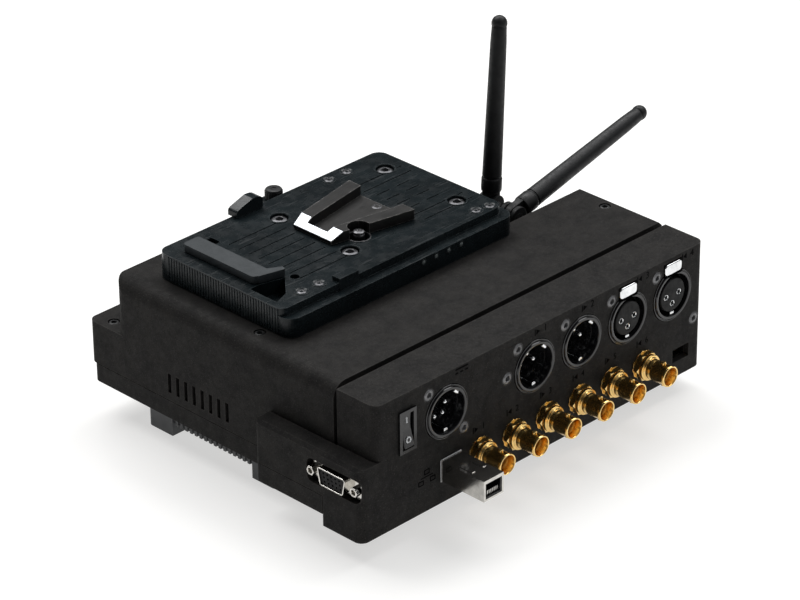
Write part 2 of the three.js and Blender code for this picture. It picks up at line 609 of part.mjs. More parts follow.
// Swivelling base: a knurled sleeve on the jack, a neck, and a fork for the whip.
function antennaBase({ x, y }) {
  const sleeve = upright([[3.5, 47.4], [5, 47.4], [5.2, 48], [5.2, 55], [4.4, 56], [4.4, KNUCKLE_Z],
    [0, KNUCKLE_Z], [0, 54.2], [3.5, 54.2], [3.5, 47.4]], x, y, 0, 16);
  const eye = bar('y', [x, y - 4.4, KNUCKLE_Z], 8.8, 4.4, 16);
  const gap = box(x - 6, x + 6, y - 2.1, y + 2.1, KNUCKLE_Z - 5.6, KNUCKLE_Z + 6);
  return cut(joined(sleeve, eye), gap, bar('y', [x, y - 6, KNUCKLE_Z], 12, 1.6, 8));
}

// Whip: a tongue with its hinge pin, then a tapering rod with a round tip. Drawn about the hinge.
function antennaWhip() {
  const tip = 3.5;
  const profile = [[0, 5.6], [4.2, 5.6], [4.65, 6.2], [4.65, 12], [4.3, 13]];
  const dome = new THREE.Path().absarc(0, WHIP_LENGTH - tip, tip, 0, Math.PI / 2, false);
  for (const point of dome.getPoints(3)) {
    profile.push([point.x < 1e-6 ? 0 : point.x, point.y]);
  }
  const rod = upright(profile, 0, 0, 0, 12);
  const tongue = joined(bar('y', [0, -1.8, 0], 3.6, 4.3, 16), box(-3.4, 3.4, -1.8, 1.8, 0, 6));
  const pin = bar('y', [0, -4.2, 0], 8.4, 1.15, 8);
  return joined(rod, tongue, pin);
}

// ---- Inside -------------------------------------------------------------------------------
const mainBoard = () => box(5.5, WIDTH - 5.5, 30, 168, BOARD.z0, BOARD.z1);

function receiverModule() {
  const low = BOARD.z1 + GAP;
  return joined(box(104, 184, 106, 164, low, low + 6), box(110, 118, 100, 107, low, low + 3));
}

function powerBoard() {
  const board = box(34, 144, 66, 142, POWER_BOARD.z0, POWER_BOARD.z1);
  const parts = [box(96, 118, 96, 118, POWER_BOARD.z0 - 8, POWER_BOARD.z0 + 0.5),
    bar('z', [50, 108, POWER_BOARD.z0 - 14], 14.5, 6, 16)];
  const holes = PLATE_SCREWS.map(([x, y]) => bar('z', [x, y, POWER_BOARD.z0 - 1], 4, 2, 12));
  return cut(joined(board, ...parts), ...holes);
}

// ---- Assembly -----------------------------------------------------------------------------
add('connector_housing', connectorHousing(), nylon);
add('main_casing', mainCasing(), nylon);
add('base_cover', baseCover(), nylon);
add('foot_plate', footPlate(), footGrey);
add('foot_wedge', footWedge(), steel);

add('battery_plate', batteryPlate(), plateBlack);
add('battery_shoe', batteryShoe(), darkMetal);
add('contact_block', contactBlock(), plateBlack);
add('release_lever', releaseLever(), plateBlack);
add('lock_pin', lockPin(), steel);
add('stop_knob', stopKnob(), plateBlack);
PLATE_SCREWS.forEach((at, i) => add(`plate_screw_${i + 1}`, plateScrew(at), steel));

add('power_inlet', plugConnector(POWER_X, [18, 162, 234, 306]), connectorBlack);
OUTPUT_X.forEach((x, i) => {
  add(`output_plug_${i + 1}`, plugConnector(x, [0, 90, 180]), connectorBlack);
});
INPUT_X.forEach((x, i) => add(`input_socket_${i + 1}`, socketConnector(x), connectorBlack));
INPUT_X.forEach((x, i) => add(`latch_tab_${i + 1}`, latchTab(x), nickel));
coaxX.forEach((x, i) => add(`coax_jack_${i + 1}`, coaxJack(x), gold));
coaxX.forEach((x, i) => add(`coax_nut_${i + 1}`, coaxNut(x), gold));
add('network_jack', networkJack(), nickel);
add('usb_socket', usbSocket(), nickel);
add('data_connector', dataConnector(), nickel);
add('rocker_bezel', rockerBezel(), connectorBlack);
const rocker = add('rocker', rockerKey(), connectorBlack);
rocker.position.set(ROCKER.x, 2.2, ROCKER.z);
rocker.rotation.x = THREE.MathUtils.degToRad(ROCKER.tilt);
PANEL_SCREWS.forEach((at, i) => add(`panel_screw_${i + 1}`, panelScrew(at), steel));
CASING_SCREWS.forEach((at, i) => add(`casing_screw_${i + 1}`, casingScrew(at), darkMetal));

ANTENNAS.forEach((antenna, i) => {
  add(`antenna_jack_${i + 1}`, antennaJack(antenna), gold);
  add(`antenna_base_${i + 1}`, antennaBase(antenna), antennaBlack);
  const whip = add(`antenna_whip_${i + 1}`, antennaWhip(), antennaBlack);
  whip.position.set(antenna.x, antenna.y, KNUCKLE_Z);
  whip.rotation.y = THREE.MathUtils.degToRad(antenna.lean);
});

add('main_board', mainBoard(), boardGreen);
add('receiver_module', receiverModule(), nickel);
add('power_board', powerBoard(), boardGreen);

export default unit;
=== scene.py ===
"""The looks of the wireless receiver unit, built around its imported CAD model."""

import json
import math

import bmesh
import bpy
from mathutils import Matrix, Vector


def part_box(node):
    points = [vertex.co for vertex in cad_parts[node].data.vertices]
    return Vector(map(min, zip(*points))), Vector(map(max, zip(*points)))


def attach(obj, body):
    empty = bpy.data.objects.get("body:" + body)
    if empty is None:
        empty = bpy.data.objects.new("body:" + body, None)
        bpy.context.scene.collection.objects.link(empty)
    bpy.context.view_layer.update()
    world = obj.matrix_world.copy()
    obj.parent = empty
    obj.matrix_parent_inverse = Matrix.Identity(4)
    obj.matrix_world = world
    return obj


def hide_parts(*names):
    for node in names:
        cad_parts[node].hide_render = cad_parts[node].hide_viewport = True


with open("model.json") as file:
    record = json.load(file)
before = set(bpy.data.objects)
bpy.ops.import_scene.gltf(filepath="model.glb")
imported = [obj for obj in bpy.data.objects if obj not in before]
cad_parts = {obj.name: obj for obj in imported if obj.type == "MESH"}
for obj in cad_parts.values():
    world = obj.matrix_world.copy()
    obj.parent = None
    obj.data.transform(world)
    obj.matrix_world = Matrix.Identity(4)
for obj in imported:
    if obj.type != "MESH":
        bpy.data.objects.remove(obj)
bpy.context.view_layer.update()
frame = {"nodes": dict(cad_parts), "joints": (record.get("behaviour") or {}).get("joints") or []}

MM = 0.001
TOP = Matrix.Identity(4)
# Local +Z comes out of the connector panel. A hinge pin lies along the same line.
PANEL = Matrix.Rotation(math.radians(90), 4, "X")
HINGE = PANEL
# Local +Z comes out to the left.
SIDE = Matrix(((0, 0, -1, 0), (-1, 0, 0, 0), (0, 1, 0, 0), (0, 0, 0, 1)))

PIN_CIRCLE = 4.1        # radius at which the pins of a round connector stand
JACK_COUNT = 6          # coaxial jacks on the panel
MARK = (-0.05, 0.06)    # a mark's depth and height at the panel's face


# ---- Materials ----
class Paint:
    """A Principled material with short calls for the procedural textures that drive it."""

    def __init__(self, name, color, roughness, metallic=0.0, **sockets):
        self.material = bpy.data.materials.new(name)
        self.material.use_nodes = True
        self.tree = self.material.node_tree
        self.shader = self.tree.nodes["Principled BSDF"]
        self.place = self.tree.nodes.new("ShaderNodeTexCoord").outputs["Object"]
        self.set("Base Color", (*color, 1))
        self.set("Roughness", roughness)
        self.set("Metallic", metallic)
        for socket, value in sockets.items():
            self.set(socket.replace("_", " "), value)
        self.relief = None

    def set(self, socket, value):
        self.shader.inputs[socket].default_value = value

    def node(self, kind, **settings):
        made = self.tree.nodes.new(kind)
        for key, value in settings.items():
            setattr(made, key, value)
        return made

    def link(self, source, target):
        self.tree.links.new(source, target)

    def noise(self, size_mm, detail=3.0, roughness=0.55, stretch=(1, 1, 1)):
        mapping = self.node("ShaderNodeMapping")
        mapping.inputs["Scale"].default_value = stretch
        self.link(self.place, mapping.inputs["Vector"])
        texture = self.node("ShaderNodeTexNoise")
        texture.inputs["Scale"].default_value = 1 / (size_mm * MM)
        texture.inputs["Detail"].default_value = detail
        texture.inputs["Roughness"].default_value = roughness
        self.link(mapping.outputs["Vector"], texture.inputs["Vector"])
        return texture.outputs["Fac"]

    def cell_edges(self, size_mm):
        texture = self.node("ShaderNodeTexVoronoi", feature="DISTANCE_TO_EDGE")
        texture.inputs["Scale"].default_value = 1 / (size_mm * MM)
        self.link(self.place, texture.inputs["Vector"])
        return texture.outputs["Distance"]

    def spread(self, fac, low, high, to_low=0.0, to_high=1.0):
        made = self.node("ShaderNodeMapRange")
        for name, value in (("From Min", low), ("From Max", high), ("To Min", to_low),
                ("To Max", to_high)):
            made.inputs[name].default_value = value
        self.link(fac, made.inputs["Value"])
        return made.outputs["Result"]

    def math(self, operation, first, second):
        made = self.node("ShaderNodeMath", operation=operation)
        for socket, value in zip(made.inputs, (first, second)):
            if isinstance(value, (int, float)):
                socket.default_value = value
            else:
                self.link(value, socket)
        return made.outputs["Value"]

    def blend(self, fac, first, second):
        made = self.node("ShaderNodeMix", data_type="RGBA")
        self.link(fac, made.inputs["Factor"])
        for name, value in (("A", first), ("B", second)):
            socket = [s for s in made.inputs if s.name == name and s.type == "RGBA"][0]
            if isinstance(value, tuple):
                socket.default_value = (*value, 1)
            else:
                self.link(value, socket)
        return [s for s in made.outputs if s.type == "RGBA"][0]

    def edges(self, radius_mm):
        """1 on sharp outer and inner edges, 0 on flat faces."""
        rounded = self.node("ShaderNodeBevel", samples=4)
        rounded.inputs["Radius"].default_value = radius_mm * MM
        true = self.node("ShaderNodeNewGeometry")
        dot = self.node("ShaderNodeVectorMath", operation="DOT_PRODUCT")
        self.link(rounded.outputs["Normal"], dot.inputs[0])
        self.link(true.outputs["Normal"], dot.inputs[1])
        return self.spread(dot.outputs["Value"], 0.995, 0.85)

    def worn_edges(self, radius_mm, patch_mm, *levels):
        """Edges rubbed in patches. The levels are those of spread."""
        edges = self.edges(radius_mm)
        return self.math("MULTIPLY", edges, self.spread(self.noise(patch_mm, 3), *levels))

    def color(self, source):
        self.link(source, self.shader.inputs["Base Color"])

    def rough(self, source):
        self.link(source, self.shader.inputs["Roughness"])

    def uneven(self, size_mm, detail, low, high):
        """Roughness that drifts between two values."""
        self.rough(self.spread(self.noise(size_mm, detail), 0.3, 0.7, low, high))

    def bump(self, height, depth_mm, strength=1.0):
        made = self.node("ShaderNodeBump")
        made.inputs["Distance"].default_value = depth_mm * MM
        made.inputs["Strength"].default_value = strength
        self.link(height, made.inputs["Height"])
        if self.relief:
            self.link(self.relief, made.inputs["Normal"])
        self.relief = made.outputs["Normal"]
        self.link(self.relief, self.shader.inputs["Normal"])


def scaled(color, times, plus=0.0):
    return tuple(min(1.0, c * times + plus) for c in color)


def nylon():
    """Sintered nylon, dyed charcoal: dry, grainy, a little paler where edges are rubbed."""
    paint = Paint("nylon", (0.016, 0.0155, 0.015), 0.72, Specular_IOR_Level=0.07)
    grain = paint.noise(0.55, 2, 0.6)
    mottle = paint.noise(9, 4, 0.6)
    tone = paint.blend(paint.spread(mottle, 0.35, 0.65), (0.0130, 0.0125, 0.0123),
            (0.0215, 0.0203, 0.0193))
    speck = paint.blend(paint.spread(grain, 0.60, 0.74), tone, (0.050, 0.047, 0.044))
    dark = paint.blend(paint.spread(grain, 0.42, 0.28), speck, (0.0065, 0.0063, 0.0062))
    worn = paint.worn_edges(0.9, 3, 0.35, 0.7, 0.15, 0.75)
    paint.color(paint.blend(worn, dark, (0.055, 0.052, 0.049)))
    paint.uneven(2.2, 3, 0.55, 0.76)
    paint.bump(paint.noise(0.42, 2, 0.7), 0.10, 0.8)
    paint.bump(paint.noise(1.6, 3, 0.6), 0.10, 0.35)
    return paint.material


def plate_black():
    """Moulded battery plate: satin, teal-black, handled and lightly scratched."""
    paint = Paint("plate_black", (0.008, 0.011, 0.0125), 0.30, Specular_IOR_Level=0.22)
    cloud = paint.noise(16, 4, 0.6)
    tone = paint.blend(paint.spread(cloud, 0.3, 0.7), (0.0036, 0.0060, 0.0072),
            (0.0080, 0.0125, 0.0145))
    dust = paint.spread(paint.noise(0.9, 2, 0.8), 0.68, 0.80)
    dusty = paint.blend(dust, tone, (0.030, 0.037, 0.040))
    worn = paint.worn_edges(0.5, 2.4, 0.35, 0.65, 0.2, 1.0)
    paint.color(paint.blend(worn, dusty, (0.060, 0.070, 0.074)))
    scratch = paint.spread(paint.noise(1.1, 2, 0.5, (0.08, 1, 1)), 0.62, 0.70)
    base = paint.spread(paint.noise(5, 4, 0.6), 0.3, 0.7, 0.20, 0.33)
    paint.rough(paint.math("ADD", base, paint.math("MULTIPLY", scratch, 0.16)))
    paint.bump(paint.noise(0.35, 2, 0.6), 0.02, 0.5)
    paint.bump(scratch, -0.012, 0.5)
    return paint.material


def foot_grey():
    """The plain grey foot under the case, scuffed along its edges."""
    paint = Paint("foot_grey", (0.085, 0.087, 0.090), 0.62, Specular_IOR_Level=0.3)
    tone = paint.blend(paint.spread(paint.noise(12, 4), 0.3, 0.7), (0.070, 0.072, 0.075),
            (0.100, 0.102, 0.104))
    scuff = paint.worn_edges(0.7, 2, 0.4, 0.7, 0.1, 0.9)
    paint.color(paint.blend(scuff, tone, (0.22, 0.22, 0.22)))
    paint.uneven(3, 3, 0.5, 0.75)
    paint.bump(paint.noise(0.5, 2), 0.05, 0.6)
    return paint.material


def metal(name, color, roughness, edge=None, brushed=(1, 1, 1), spots=0.0):
    """Plated or bare metal with fine machining marks and smudges. Where edge is given, every sharp edge
    takes that lighter colour as a painted highlight.
    """
    paint = Paint(name, color, roughness, metallic=1.0)
    lines = paint.noise(0.30, 2, 0.5, brushed)
    smudge = paint.noise(4, 3, 0.6)
    tone = paint.blend(paint.spread(smudge, 0.35, 0.75), color, scaled(color, 0.72))
    if spots:
        spotted = paint.spread(paint.noise(1.2, 3, 0.7), 0.70 - spots, 0.78)
        tone = paint.blend(spotted, tone, scaled(color, 0.45))
    # Painted highlight: the edge colour is laid evenly on every sharp edge, inner ones too, for light
    # caught there.
    if edge:
        tone = paint.blend(paint.edges(0.25), tone, edge)
    paint.color(tone)
    low, high = roughness * 0.75, roughness * 1.45
    paint.rough(paint.spread(paint.math("ADD", lines, smudge), 0.7, 1.3, low, high))
    paint.bump(lines, 0.012, 0.5)
    return paint.material


def shoe_metal():
    """Black anodised alloy of the battery shoe, rubbed to bare metal where batteries slide."""
    paint = Paint("shoe_metal", (0.018, 0.017, 0.016), 0.42, 0.55)
    tone = paint.blend(paint.spread(paint.noise(8, 4), 0.3, 0.7), (0.010, 0.0098, 0.0096),
            (0.022, 0.021, 0.020))
    worn = paint.worn_edges(0.6, 1.6, 0.35, 0.62, 0.15, 1.0)
    paint.color(paint.blend(worn, tone, (0.28, 0.27, 0.26)))
    paint.rough(paint.spread(paint.noise(0.6, 3, 0.6, (0.15, 1, 1)), 0.3, 0.7, 0.34, 0.55))
    paint.bump(paint.noise(0.4, 2), 0.02, 0.6)
    return paint.material


def plastic(name, color, roughness, grain_mm=0.3, depth_mm=0.02, pale=None, shine=0.5):
    """Moulded plastic or rubber, with a paler tone in patches and along rubbed edges."""
    paint = Paint(name, color, roughness, Specular_IOR_Level=shine)
    lighter = pale or scaled(color, 1.6, 0.004)
    tone = paint.blend(paint.spread(paint.noise(5, 4), 0.3, 0.75), color, lighter)
    rub = paint.worn_edges(0.25, 1.5, 0.4, 0.7, 0.0, 0.6)
    paint.color(paint.blend(rub, tone, scaled(color, 2.4, 0.02)))
    paint.uneven(2, 3, roughness * 0.8, roughness * 1.3)
    paint.bump(paint.noise(grain_mm, 2), depth_mm, 0.6)
    return paint.material


def circuit_board():
    """Solder mask over copper tracks."""
    paint = Paint("board_green", (0.012, 0.085, 0.035), 0.35)
    tracks = paint.spread(paint.cell_edges(4.5), 0.035, 0.055)
    paint.color(paint.blend(tracks, (0.030, 0.17, 0.075), (0.010, 0.070, 0.030)))
    paint.uneven(1.5, 2, 0.25, 0.5)
    paint.bump(tracks, -0.04, 0.5)
    return paint.material


def glow(name, color):
    """A smooth, coated colour for windows and liners. It gives off no light."""
    paint = Paint(name, color, 0.25, Coat_Weight=0.5)
    paint.uneven(0.8, 2, 0.18, 0.35)
    return paint.material


NYLON = nylon()
PLATE = plate_black()
FOOT = foot_grey()
SHOE = shoe_metal()
# Painted highlights: the edge colours given to the metals below are laid along every sharp edge.
STEEL = metal("steel", (0.30, 0.30, 0.31), 0.26, edge=(0.62, 0.62, 0.62), spots=0.10)
ZINC = metal("zinc_washer", (0.20, 0.20, 0.205), 0.48, edge=(0.34, 0.34, 0.34), spots=0.10)
DARK_STEEL = metal("dark_steel", (0.10, 0.10, 0.105), 0.34, edge=(0.28, 0.28, 0.28))
CHROME = metal("chrome", (0.82, 0.83, 0.84), 0.10)
POLISHED = metal("polished", (0.44, 0.46, 0.49), 0.30, brushed=(1, 0.05, 1), spots=0.06)
NICKEL = metal("nickel", (0.66, 0.64, 0.60), 0.13, edge=(0.84, 0.82, 0.79), spots=0.02)
GOLD = metal("gold", (0.93, 0.62, 0.22), 0.20, edge=(1.0, 0.86, 0.52), spots=0.03)
BRASS = metal("contact_brass", (0.80, 0.60, 0.28), 0.25)
BLACK = plastic("connector_black", (0.0050, 0.0050, 0.0058), 0.16, depth_mm=0.006,
        pale=(0.0090, 0.0090, 0.0100))
INSULATOR = plastic("insulator", (0.0030, 0.0030, 0.0034), 0.5, pale=(0.0065, 0.0065, 0.0070),
        shine=0.15)
DIELECTRIC = plastic("dielectric", (0.70, 0.52, 0.30), 0.4, pale=(0.80, 0.64, 0.42))
RUBBER = plastic("antenna_black", (0.0060, 0.0064, 0.0070), 0.46, 0.5, 0.03, shine=0.25)
BOARD = circuit_board()
CHIP = plastic("chip", (0.012, 0.012, 0.013), 0.5)
SHADE = plastic("dark_label", (0.0012, 0.0012, 0.0014), 0.8, pale=(0.0020, 0.0020, 0.0024), shine=0.02)
GREY_MARK = plastic("grey_mark", (0.42, 0.43, 0.44), 0.5)
YELLOW = glow("yellow_window", (0.85, 0.60, 0.03))
CLEAR = glow("clear_window", (0.14, 0.16, 0.16))
NAVY = glow("navy_liner", (0.002, 0.006, 0.026))
# A pale blue colour for a painted reflection along the seam.
REFLECTION_BLUE = glow("pale_blue_reflection", (0.10, 0.22, 0.42))
BLOCK = plastic("contact_block_grey", (0.020, 0.025, 0.028), 0.46, 0.5, 0.03,
        pale=(0.034, 0.040, 0.044), shine=0.3)


# ---- Mesh building ----
def placed(name, data):
    """Makes an object of a mesh, curve, light or camera and links it to the scene."""
    made = bpy.data.objects.new(name, data)
    bpy.context.scene.collection.objects.link(made)
    return made


def mesh_of(name, bm, at, turn):
    """The mesh of a shape in millimetres, turned and moved to its place in the row frame."""
    bmesh.ops.recalc_face_normals(bm, faces=bm.faces)
    mesh = bpy.data.meshes.new(name)
    bm.to_mesh(mesh)
    bm.free()
    mesh.transform(Matrix.Translation(at) @ turn @ Matrix.Scale(MM, 4))
    return mesh


def finished(name, bm, at, turn, material, body, bevel=0.0, replaces=(), angle=38, segments=2):
    """Places a mesh, in millimetres, into the row frame as a piece, and sets how it looks."""
    bmesh.ops.remove_doubles(bm, verts=bm.verts, dist=1e-5)
    mesh = mesh_of(name, bm, at, turn)
    mesh.materials.append(material)
    piece = placed(name, mesh)
    soften(piece, bevel, angle, segments)
    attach(piece, body)
    if replaces:
        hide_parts(*replaces)
    return piece


def on_case(name, bm, spot, material, bevel=0.0, replaces=()):
    """A piece that faces out of the connector panel's side and never moves."""
    return finished(name, bm, spot, PANEL, material, "case", bevel, replaces)


def soften(piece, bevel_mm, angle=38, segments=2):
    """Rounds the edges sharper than angle and shades the rest smooth."""
    if bevel_mm:
        modifier = piece.modifiers.new("rounded edges", "BEVEL")
        modifier.width = bevel_mm * MM
        modifier.segments = segments
        modifier.limit_method = "ANGLE"
        modifier.angle_limit = math.radians(angle)
    piece.data.shade_smooth()
    piece.data.set_sharp_from_angle(angle=math.radians(angle + 4))


def ring_points(radius, sides, start=0.0):
    step = 2 * math.pi / sides
    return [(radius * math.cos(start + i * step),
            radius * math.sin(start + i * step)) for i in range(sides)]


def at_angle(radius, degrees):
    a = math.radians(degrees)
    return radius * math.cos(a), radius * math.sin(a)


def turn_profile(bm, profile, sides=64, start=0.0, centre=(0, 0)):
    """A turned solid of [radius, height] points, ending on the axis or closing up on itself."""
    closed = profile[0][0] > 0
    rings = []
    for radius, height in profile:
        if radius == 0:
            rings.append([bm.verts.new((centre[0], centre[1], height))])
        else:
            rings.append([bm.verts.new((centre[0] + x, centre[1] + y, height))
                    for x, y in ring_points(radius, sides, start)])
    pairs = list(zip(rings, rings[1:]))
    if closed:
        pairs.append((rings[-1], rings[0]))
    for lower, upper in pairs:
        for i in range(sides):
            j = (i + 1) % sides
            corners = [lower[i % len(lower)], lower[j % len(lower)], upper[j % len(upper)],
                    upper[i % len(upper)]]
            unique = list(dict.fromkeys(corners))
            if len(unique) > 2:
                bm.faces.new(unique)
    return bm


def turned(profile, sides=64, start=0.0, centre=(0, 0)):
    return turn_profile(bmesh.new(), profile, sides, start, centre)


def extrude(bm, outline, low, high, top_scale=1.0):
    """A solid of one outline between two heights."""
    count = len(outline)
    mid = (sum(p[0] for p in outline) / count, sum(p[1] for p in outline) / count)
    bottom = [bm.verts.new((x, y, low)) for x, y in outline]
    top = [bm.verts.new((mid[0] + (x - mid[0]) * top_scale, mid[1] + (y - mid[1]) * top_scale, high))
           for x, y in outline]
    bm.faces.new(list(reversed(bottom)))
    bm.faces.new(top)
    for i in range(count):
        j = (i + 1) % count
        bm.faces.new((bottom[i], bottom[j], top[j], top[i]))
    return bm


def extruded(outline, low, high):
    return extrude(bmesh.new(), outline, low, high)


def absorb(target, part):
    """Moves the mesh of part into target."""
    keep = bpy.data.meshes.new("part")
    part.to_mesh(keep)
    part.free()
    target.from_mesh(keep)
    bpy.data.meshes.remove(keep)


def ribbed_ring(count, radius, wide, deep, low, high):
    """Upright ribs spaced round a turned part, for grip."""
    ring = bmesh.new()
    for k in range(count):
        rib = extruded(rounded(wide, deep, 0.2, steps=3), low, high)
        spin = Matrix.Rotation(2 * math.pi * k / count, 4, "Z")
        rib.transform(spin @ Matrix.Translation((radius, 0, 0)))
        absorb(ring, rib)
    return ring


def rounded(wide, high, radius, centre=(0, 0), steps=6):
    """The outline of a rectangle with round corners."""
    points = []
    for cx, cy, begin in ((1, 1, 0), (-1, 1, 90), (-1, -1, 180), (1, -1, 270)):
        for i in range(steps + 1):
            a = math.radians(begin + 90 * i / steps)
            points.append((centre[0] + cx * (wide / 2 - radius) + radius * math.cos(a),
                    centre[1] + cy * (high / 2 - radius) + radius * math.sin(a)))
    return points


def frame_outline(bm, outer, inner, low, high):
    """A tube with a hole: outer and inner outlines have the same number of points."""
    count = len(outer)
    rings = [[bm.verts.new((x, y, z)) for x, y in line]
            for line, z in ((outer, low), (outer, high), (inner, high), (inner, low))]
    for k in range(4):
        lower, upper = rings[k], rings[(k + 1) % 4]
        for i in range(count):
            j = (i + 1) % count
            bm.faces.new((lower[i], lower[j], upper[j], upper[i]))
    return bm


def middle(node):
    low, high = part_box(node)
    return (low + high) / 2


def on_panel(node, sunk=0.0):
    """The point on the connector panel in front of a node's middle."""
    spot = middle(node)
    return Vector((spot.x, panel_y - sunk, spot.z))


def on_top(node):
    """The middle of the top of a node's box."""
    low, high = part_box(node)
    return Vector(((low.x + high.x) / 2, (low.y + high.y) / 2, high.z))


def on_front(node):
    """The middle of the front of a node's box."""
    low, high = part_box(node)
    return Vector(((low.x + high.x) / 2, low.y, (low.z + high.z) / 2))


def pivot_of(body):
    """Where the joint of a moving body sits."""
    joint = [j for j in frame["joints"] if j["child"] == body][0]
    return Vector(joint["pos_m"])


def plate_top():
    """Height of the battery plate's field, just under the contact block."""
    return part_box("contact_block")[0].z - 0.3 * MM


# ---- The carried-over CAD pieces ----
def dress(node, material, bevel_mm):
    """Keeps a CAD node, merges its flat triangles, rounds its edges and gives it a material."""
    angle = 32
    piece = frame["nodes"][node]
    piece.data.materials.clear()
    piece.data.materials.append(material)
    flat = piece.modifiers.new("flat faces", "DECIMATE")
    flat.decimate_type = "DISSOLVE"
    flat.angle_limit = math.radians(0.5)
    edge = piece.modifiers.new("rounded edges", "BEVEL")
    edge.width = bevel_mm * MM
    edge.segments = 3
    edge.limit_method = "ANGLE"
    edge.angle_limit = math.radians(angle)
    edge.use_clamp_overlap = False
    edge.miter_outer = "MITER_ARC"
    piece.data.shade_smooth()
    piece.data.set_sharp_from_angle(angle=math.radians(angle + 6))
    tidy = piece.modifiers.new("even shading", "WEIGHTED_NORMAL")
    tidy.keep_sharp = True


for kept_node, look, edge_mm in (
        ("connector_housing", NYLON, 0.55),
        ("main_casing", NYLON, 0.8),
        ("base_cover", NYLON, 0.6),
        ("foot_plate", FOOT, 0.35),
        ("foot_wedge", STEEL, 0.6),
        ("battery_plate", PLATE, 0.35),
        ("contact_block", BLOCK, 0.35),
        ("battery_shoe", SHOE, 0.35),
        ("release_lever", PLATE, 0.7),
        ("network_jack", NICKEL, 0.18),
        ("usb_socket", NICKEL, 0.2),
        ("rocker_bezel", BLACK, 0.25),
        ("main_board", BOARD, 0.1),
        ("power_board", BOARD, 0.1),
        ("receiver_module", NICKEL, 0.4)):
    dress(kept_node, look, edge_mm)

panel_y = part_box("connector_housing")[0].y


# ---- Screws ----
def socket_screw(name, spot, turn, head_radius, material, body, node, depth=1.0, shank=6.0):
    """A button-headed screw with a hexagon socket, its face at local height 0."""
    bm = turned([(0, -shank), (head_radius * 0.5, -shank), (head_radius * 0.5, -depth * 1.3),
            (head_radius, -depth * 1.3), (head_radius, -0.25), (head_radius * 0.86, 0.05),
            (head_radius * 0.56, 0.16), (head_radius * 0.5, 0.0), (head_radius * 0.45, -depth * 0.9),
            (0, -depth)], 6 * 8, math.radians(30))
    hexagon(bm, head_radius * 0.40, head_radius * 0.47)
    return finished(name, bm, spot, turn, material, body, 0.06, (node,))


def hexagon(bm, inner, outer):
    """Presses the rings between two radii onto a hexagon."""
    for vert in bm.verts:
        r = math.hypot(vert.co.x, vert.co.y)
        if inner < r <= outer:
            wedge = (math.atan2(vert.co.y, vert.co.x) % math.radians(60)) - math.radians(30)
            scale = math.cos(math.radians(30)) / math.cos(wedge)
            vert.co.x *= scale
            vert.co.y *= scale


def panel_screws():
    for i in range(1, 9):
        node = f"panel_screw_{i}"
        spot = on_panel(node, 0.0002)
        socket_screw(f"screw_head_{i}", spot, PANEL, 2.5, ZINC, "case", node, 1.3)
        rim = turned([(2.58, -0.5), (2.95, -0.5), (2.95, 0.02), (2.85, 0.1), (2.65, 0.1), (2.58, 0.0)],
                48)
        finished(f"screw_rim_{i}", rim, Vector((spot.x, panel_y, spot.z)), PANEL, BLACK, "case",
                0.03)


def casing_screws():
    for i in range(1, 4):
        node = f"casing_screw_{i}"
        socket_screw(f"casing_screw_head_{i}", on_top(node), TOP, 2.35, RUBBER, "case",
                node)


def plate_screws():
    for i in range(1, 5):
        node = f"plate_screw_{i}"
        spot = on_top(node)
        socket_screw(f"plate_screw_head_{i}", spot, TOP, 3.4, DARK_STEEL, "case", node, 1.4,
                22)
        seat = turned([(4.2, -3.1), (4.16, -0.4), (4.35, 0.55), (5.0, 0.58), (5.0, 0.2), (4.6, 0.1),
                (4.4, -3.1)], 48)
        finished(f"screw_seat_{i}", seat, Vector((spot.x, spot.y, plate_top() - 0.35 * MM)),
                TOP, PLATE, "case", 0.04)


# ---- Round audio connectors ----
def shell_profile(inner, depth):
    """The turned shell that both kinds of round connector share."""
    return [(0, -19.5), (9.6, -19.5), (9.6, -3.2), (12.2, -3.2), (12.2, 0.2), (12.05, 0.42),
            (11.75, 0.42),
            (11.6, 0.15), (11.35, 0.15), (11.2, 0.7), (11.0, 1.0), (10.3, 1.05), (9.95, 0.9),
            (inner + 0.05, 0.2), (inner, -depth), (0, -depth)]


def plug_connector(node, name, pin_angles):
    """A round connector with pins, a key and a clip. The key and the clip are chrome as painted glints,
    for light reflected in the black shell's rim.
    """
    spot = on_panel(node)
    on_case(f"{name}_shell", turned(shell_profile(9.6, 13), 96), spot, BLACK, 0.06,
            (node,))
    # Painted glint: the key is chrome so that it shows the light reflected in the black shell at its
    # bottom.
    key = extruded(rounded(2.2, 1.9, 0.5, (0, -8.9), 4), -13, -0.3)
    on_case(f"{name}_key", key, spot, CHROME, 0.25)
    # Painted glint: a chrome clip inside the upper rim, standing for light reflected in the black shell
    # there.
    glint_clip = extruded(rounded(1.3, 3.0, 0.4, (9.1, 0), 4), -13, -0.2)
    glint_clip.transform(Matrix.Rotation(math.radians(48), 4, "Z"))
    on_case(f"{name}_clip", glint_clip, spot, CHROME, 0.25)
    for k, angle in enumerate(pin_angles, 1):
        centre = at_angle(PIN_CIRCLE, angle)
        pin = turned([(0, -13.6), (1.17, -13.6), (1.17, -5.0), (1.02, -4.4), (0.7, -4.05),
                (0.3, -3.92), (0, -3.9)],
                24, 0, centre)
        turn_profile(pin, [(1.9, -13.2), (1.9, -12.4), (1.5, -12.2), (1.18, -12.2), (1.18, -13.2)], 24,
                0, centre)
        on_case(f"{name}_pin_{k}", pin, spot, CHROME)


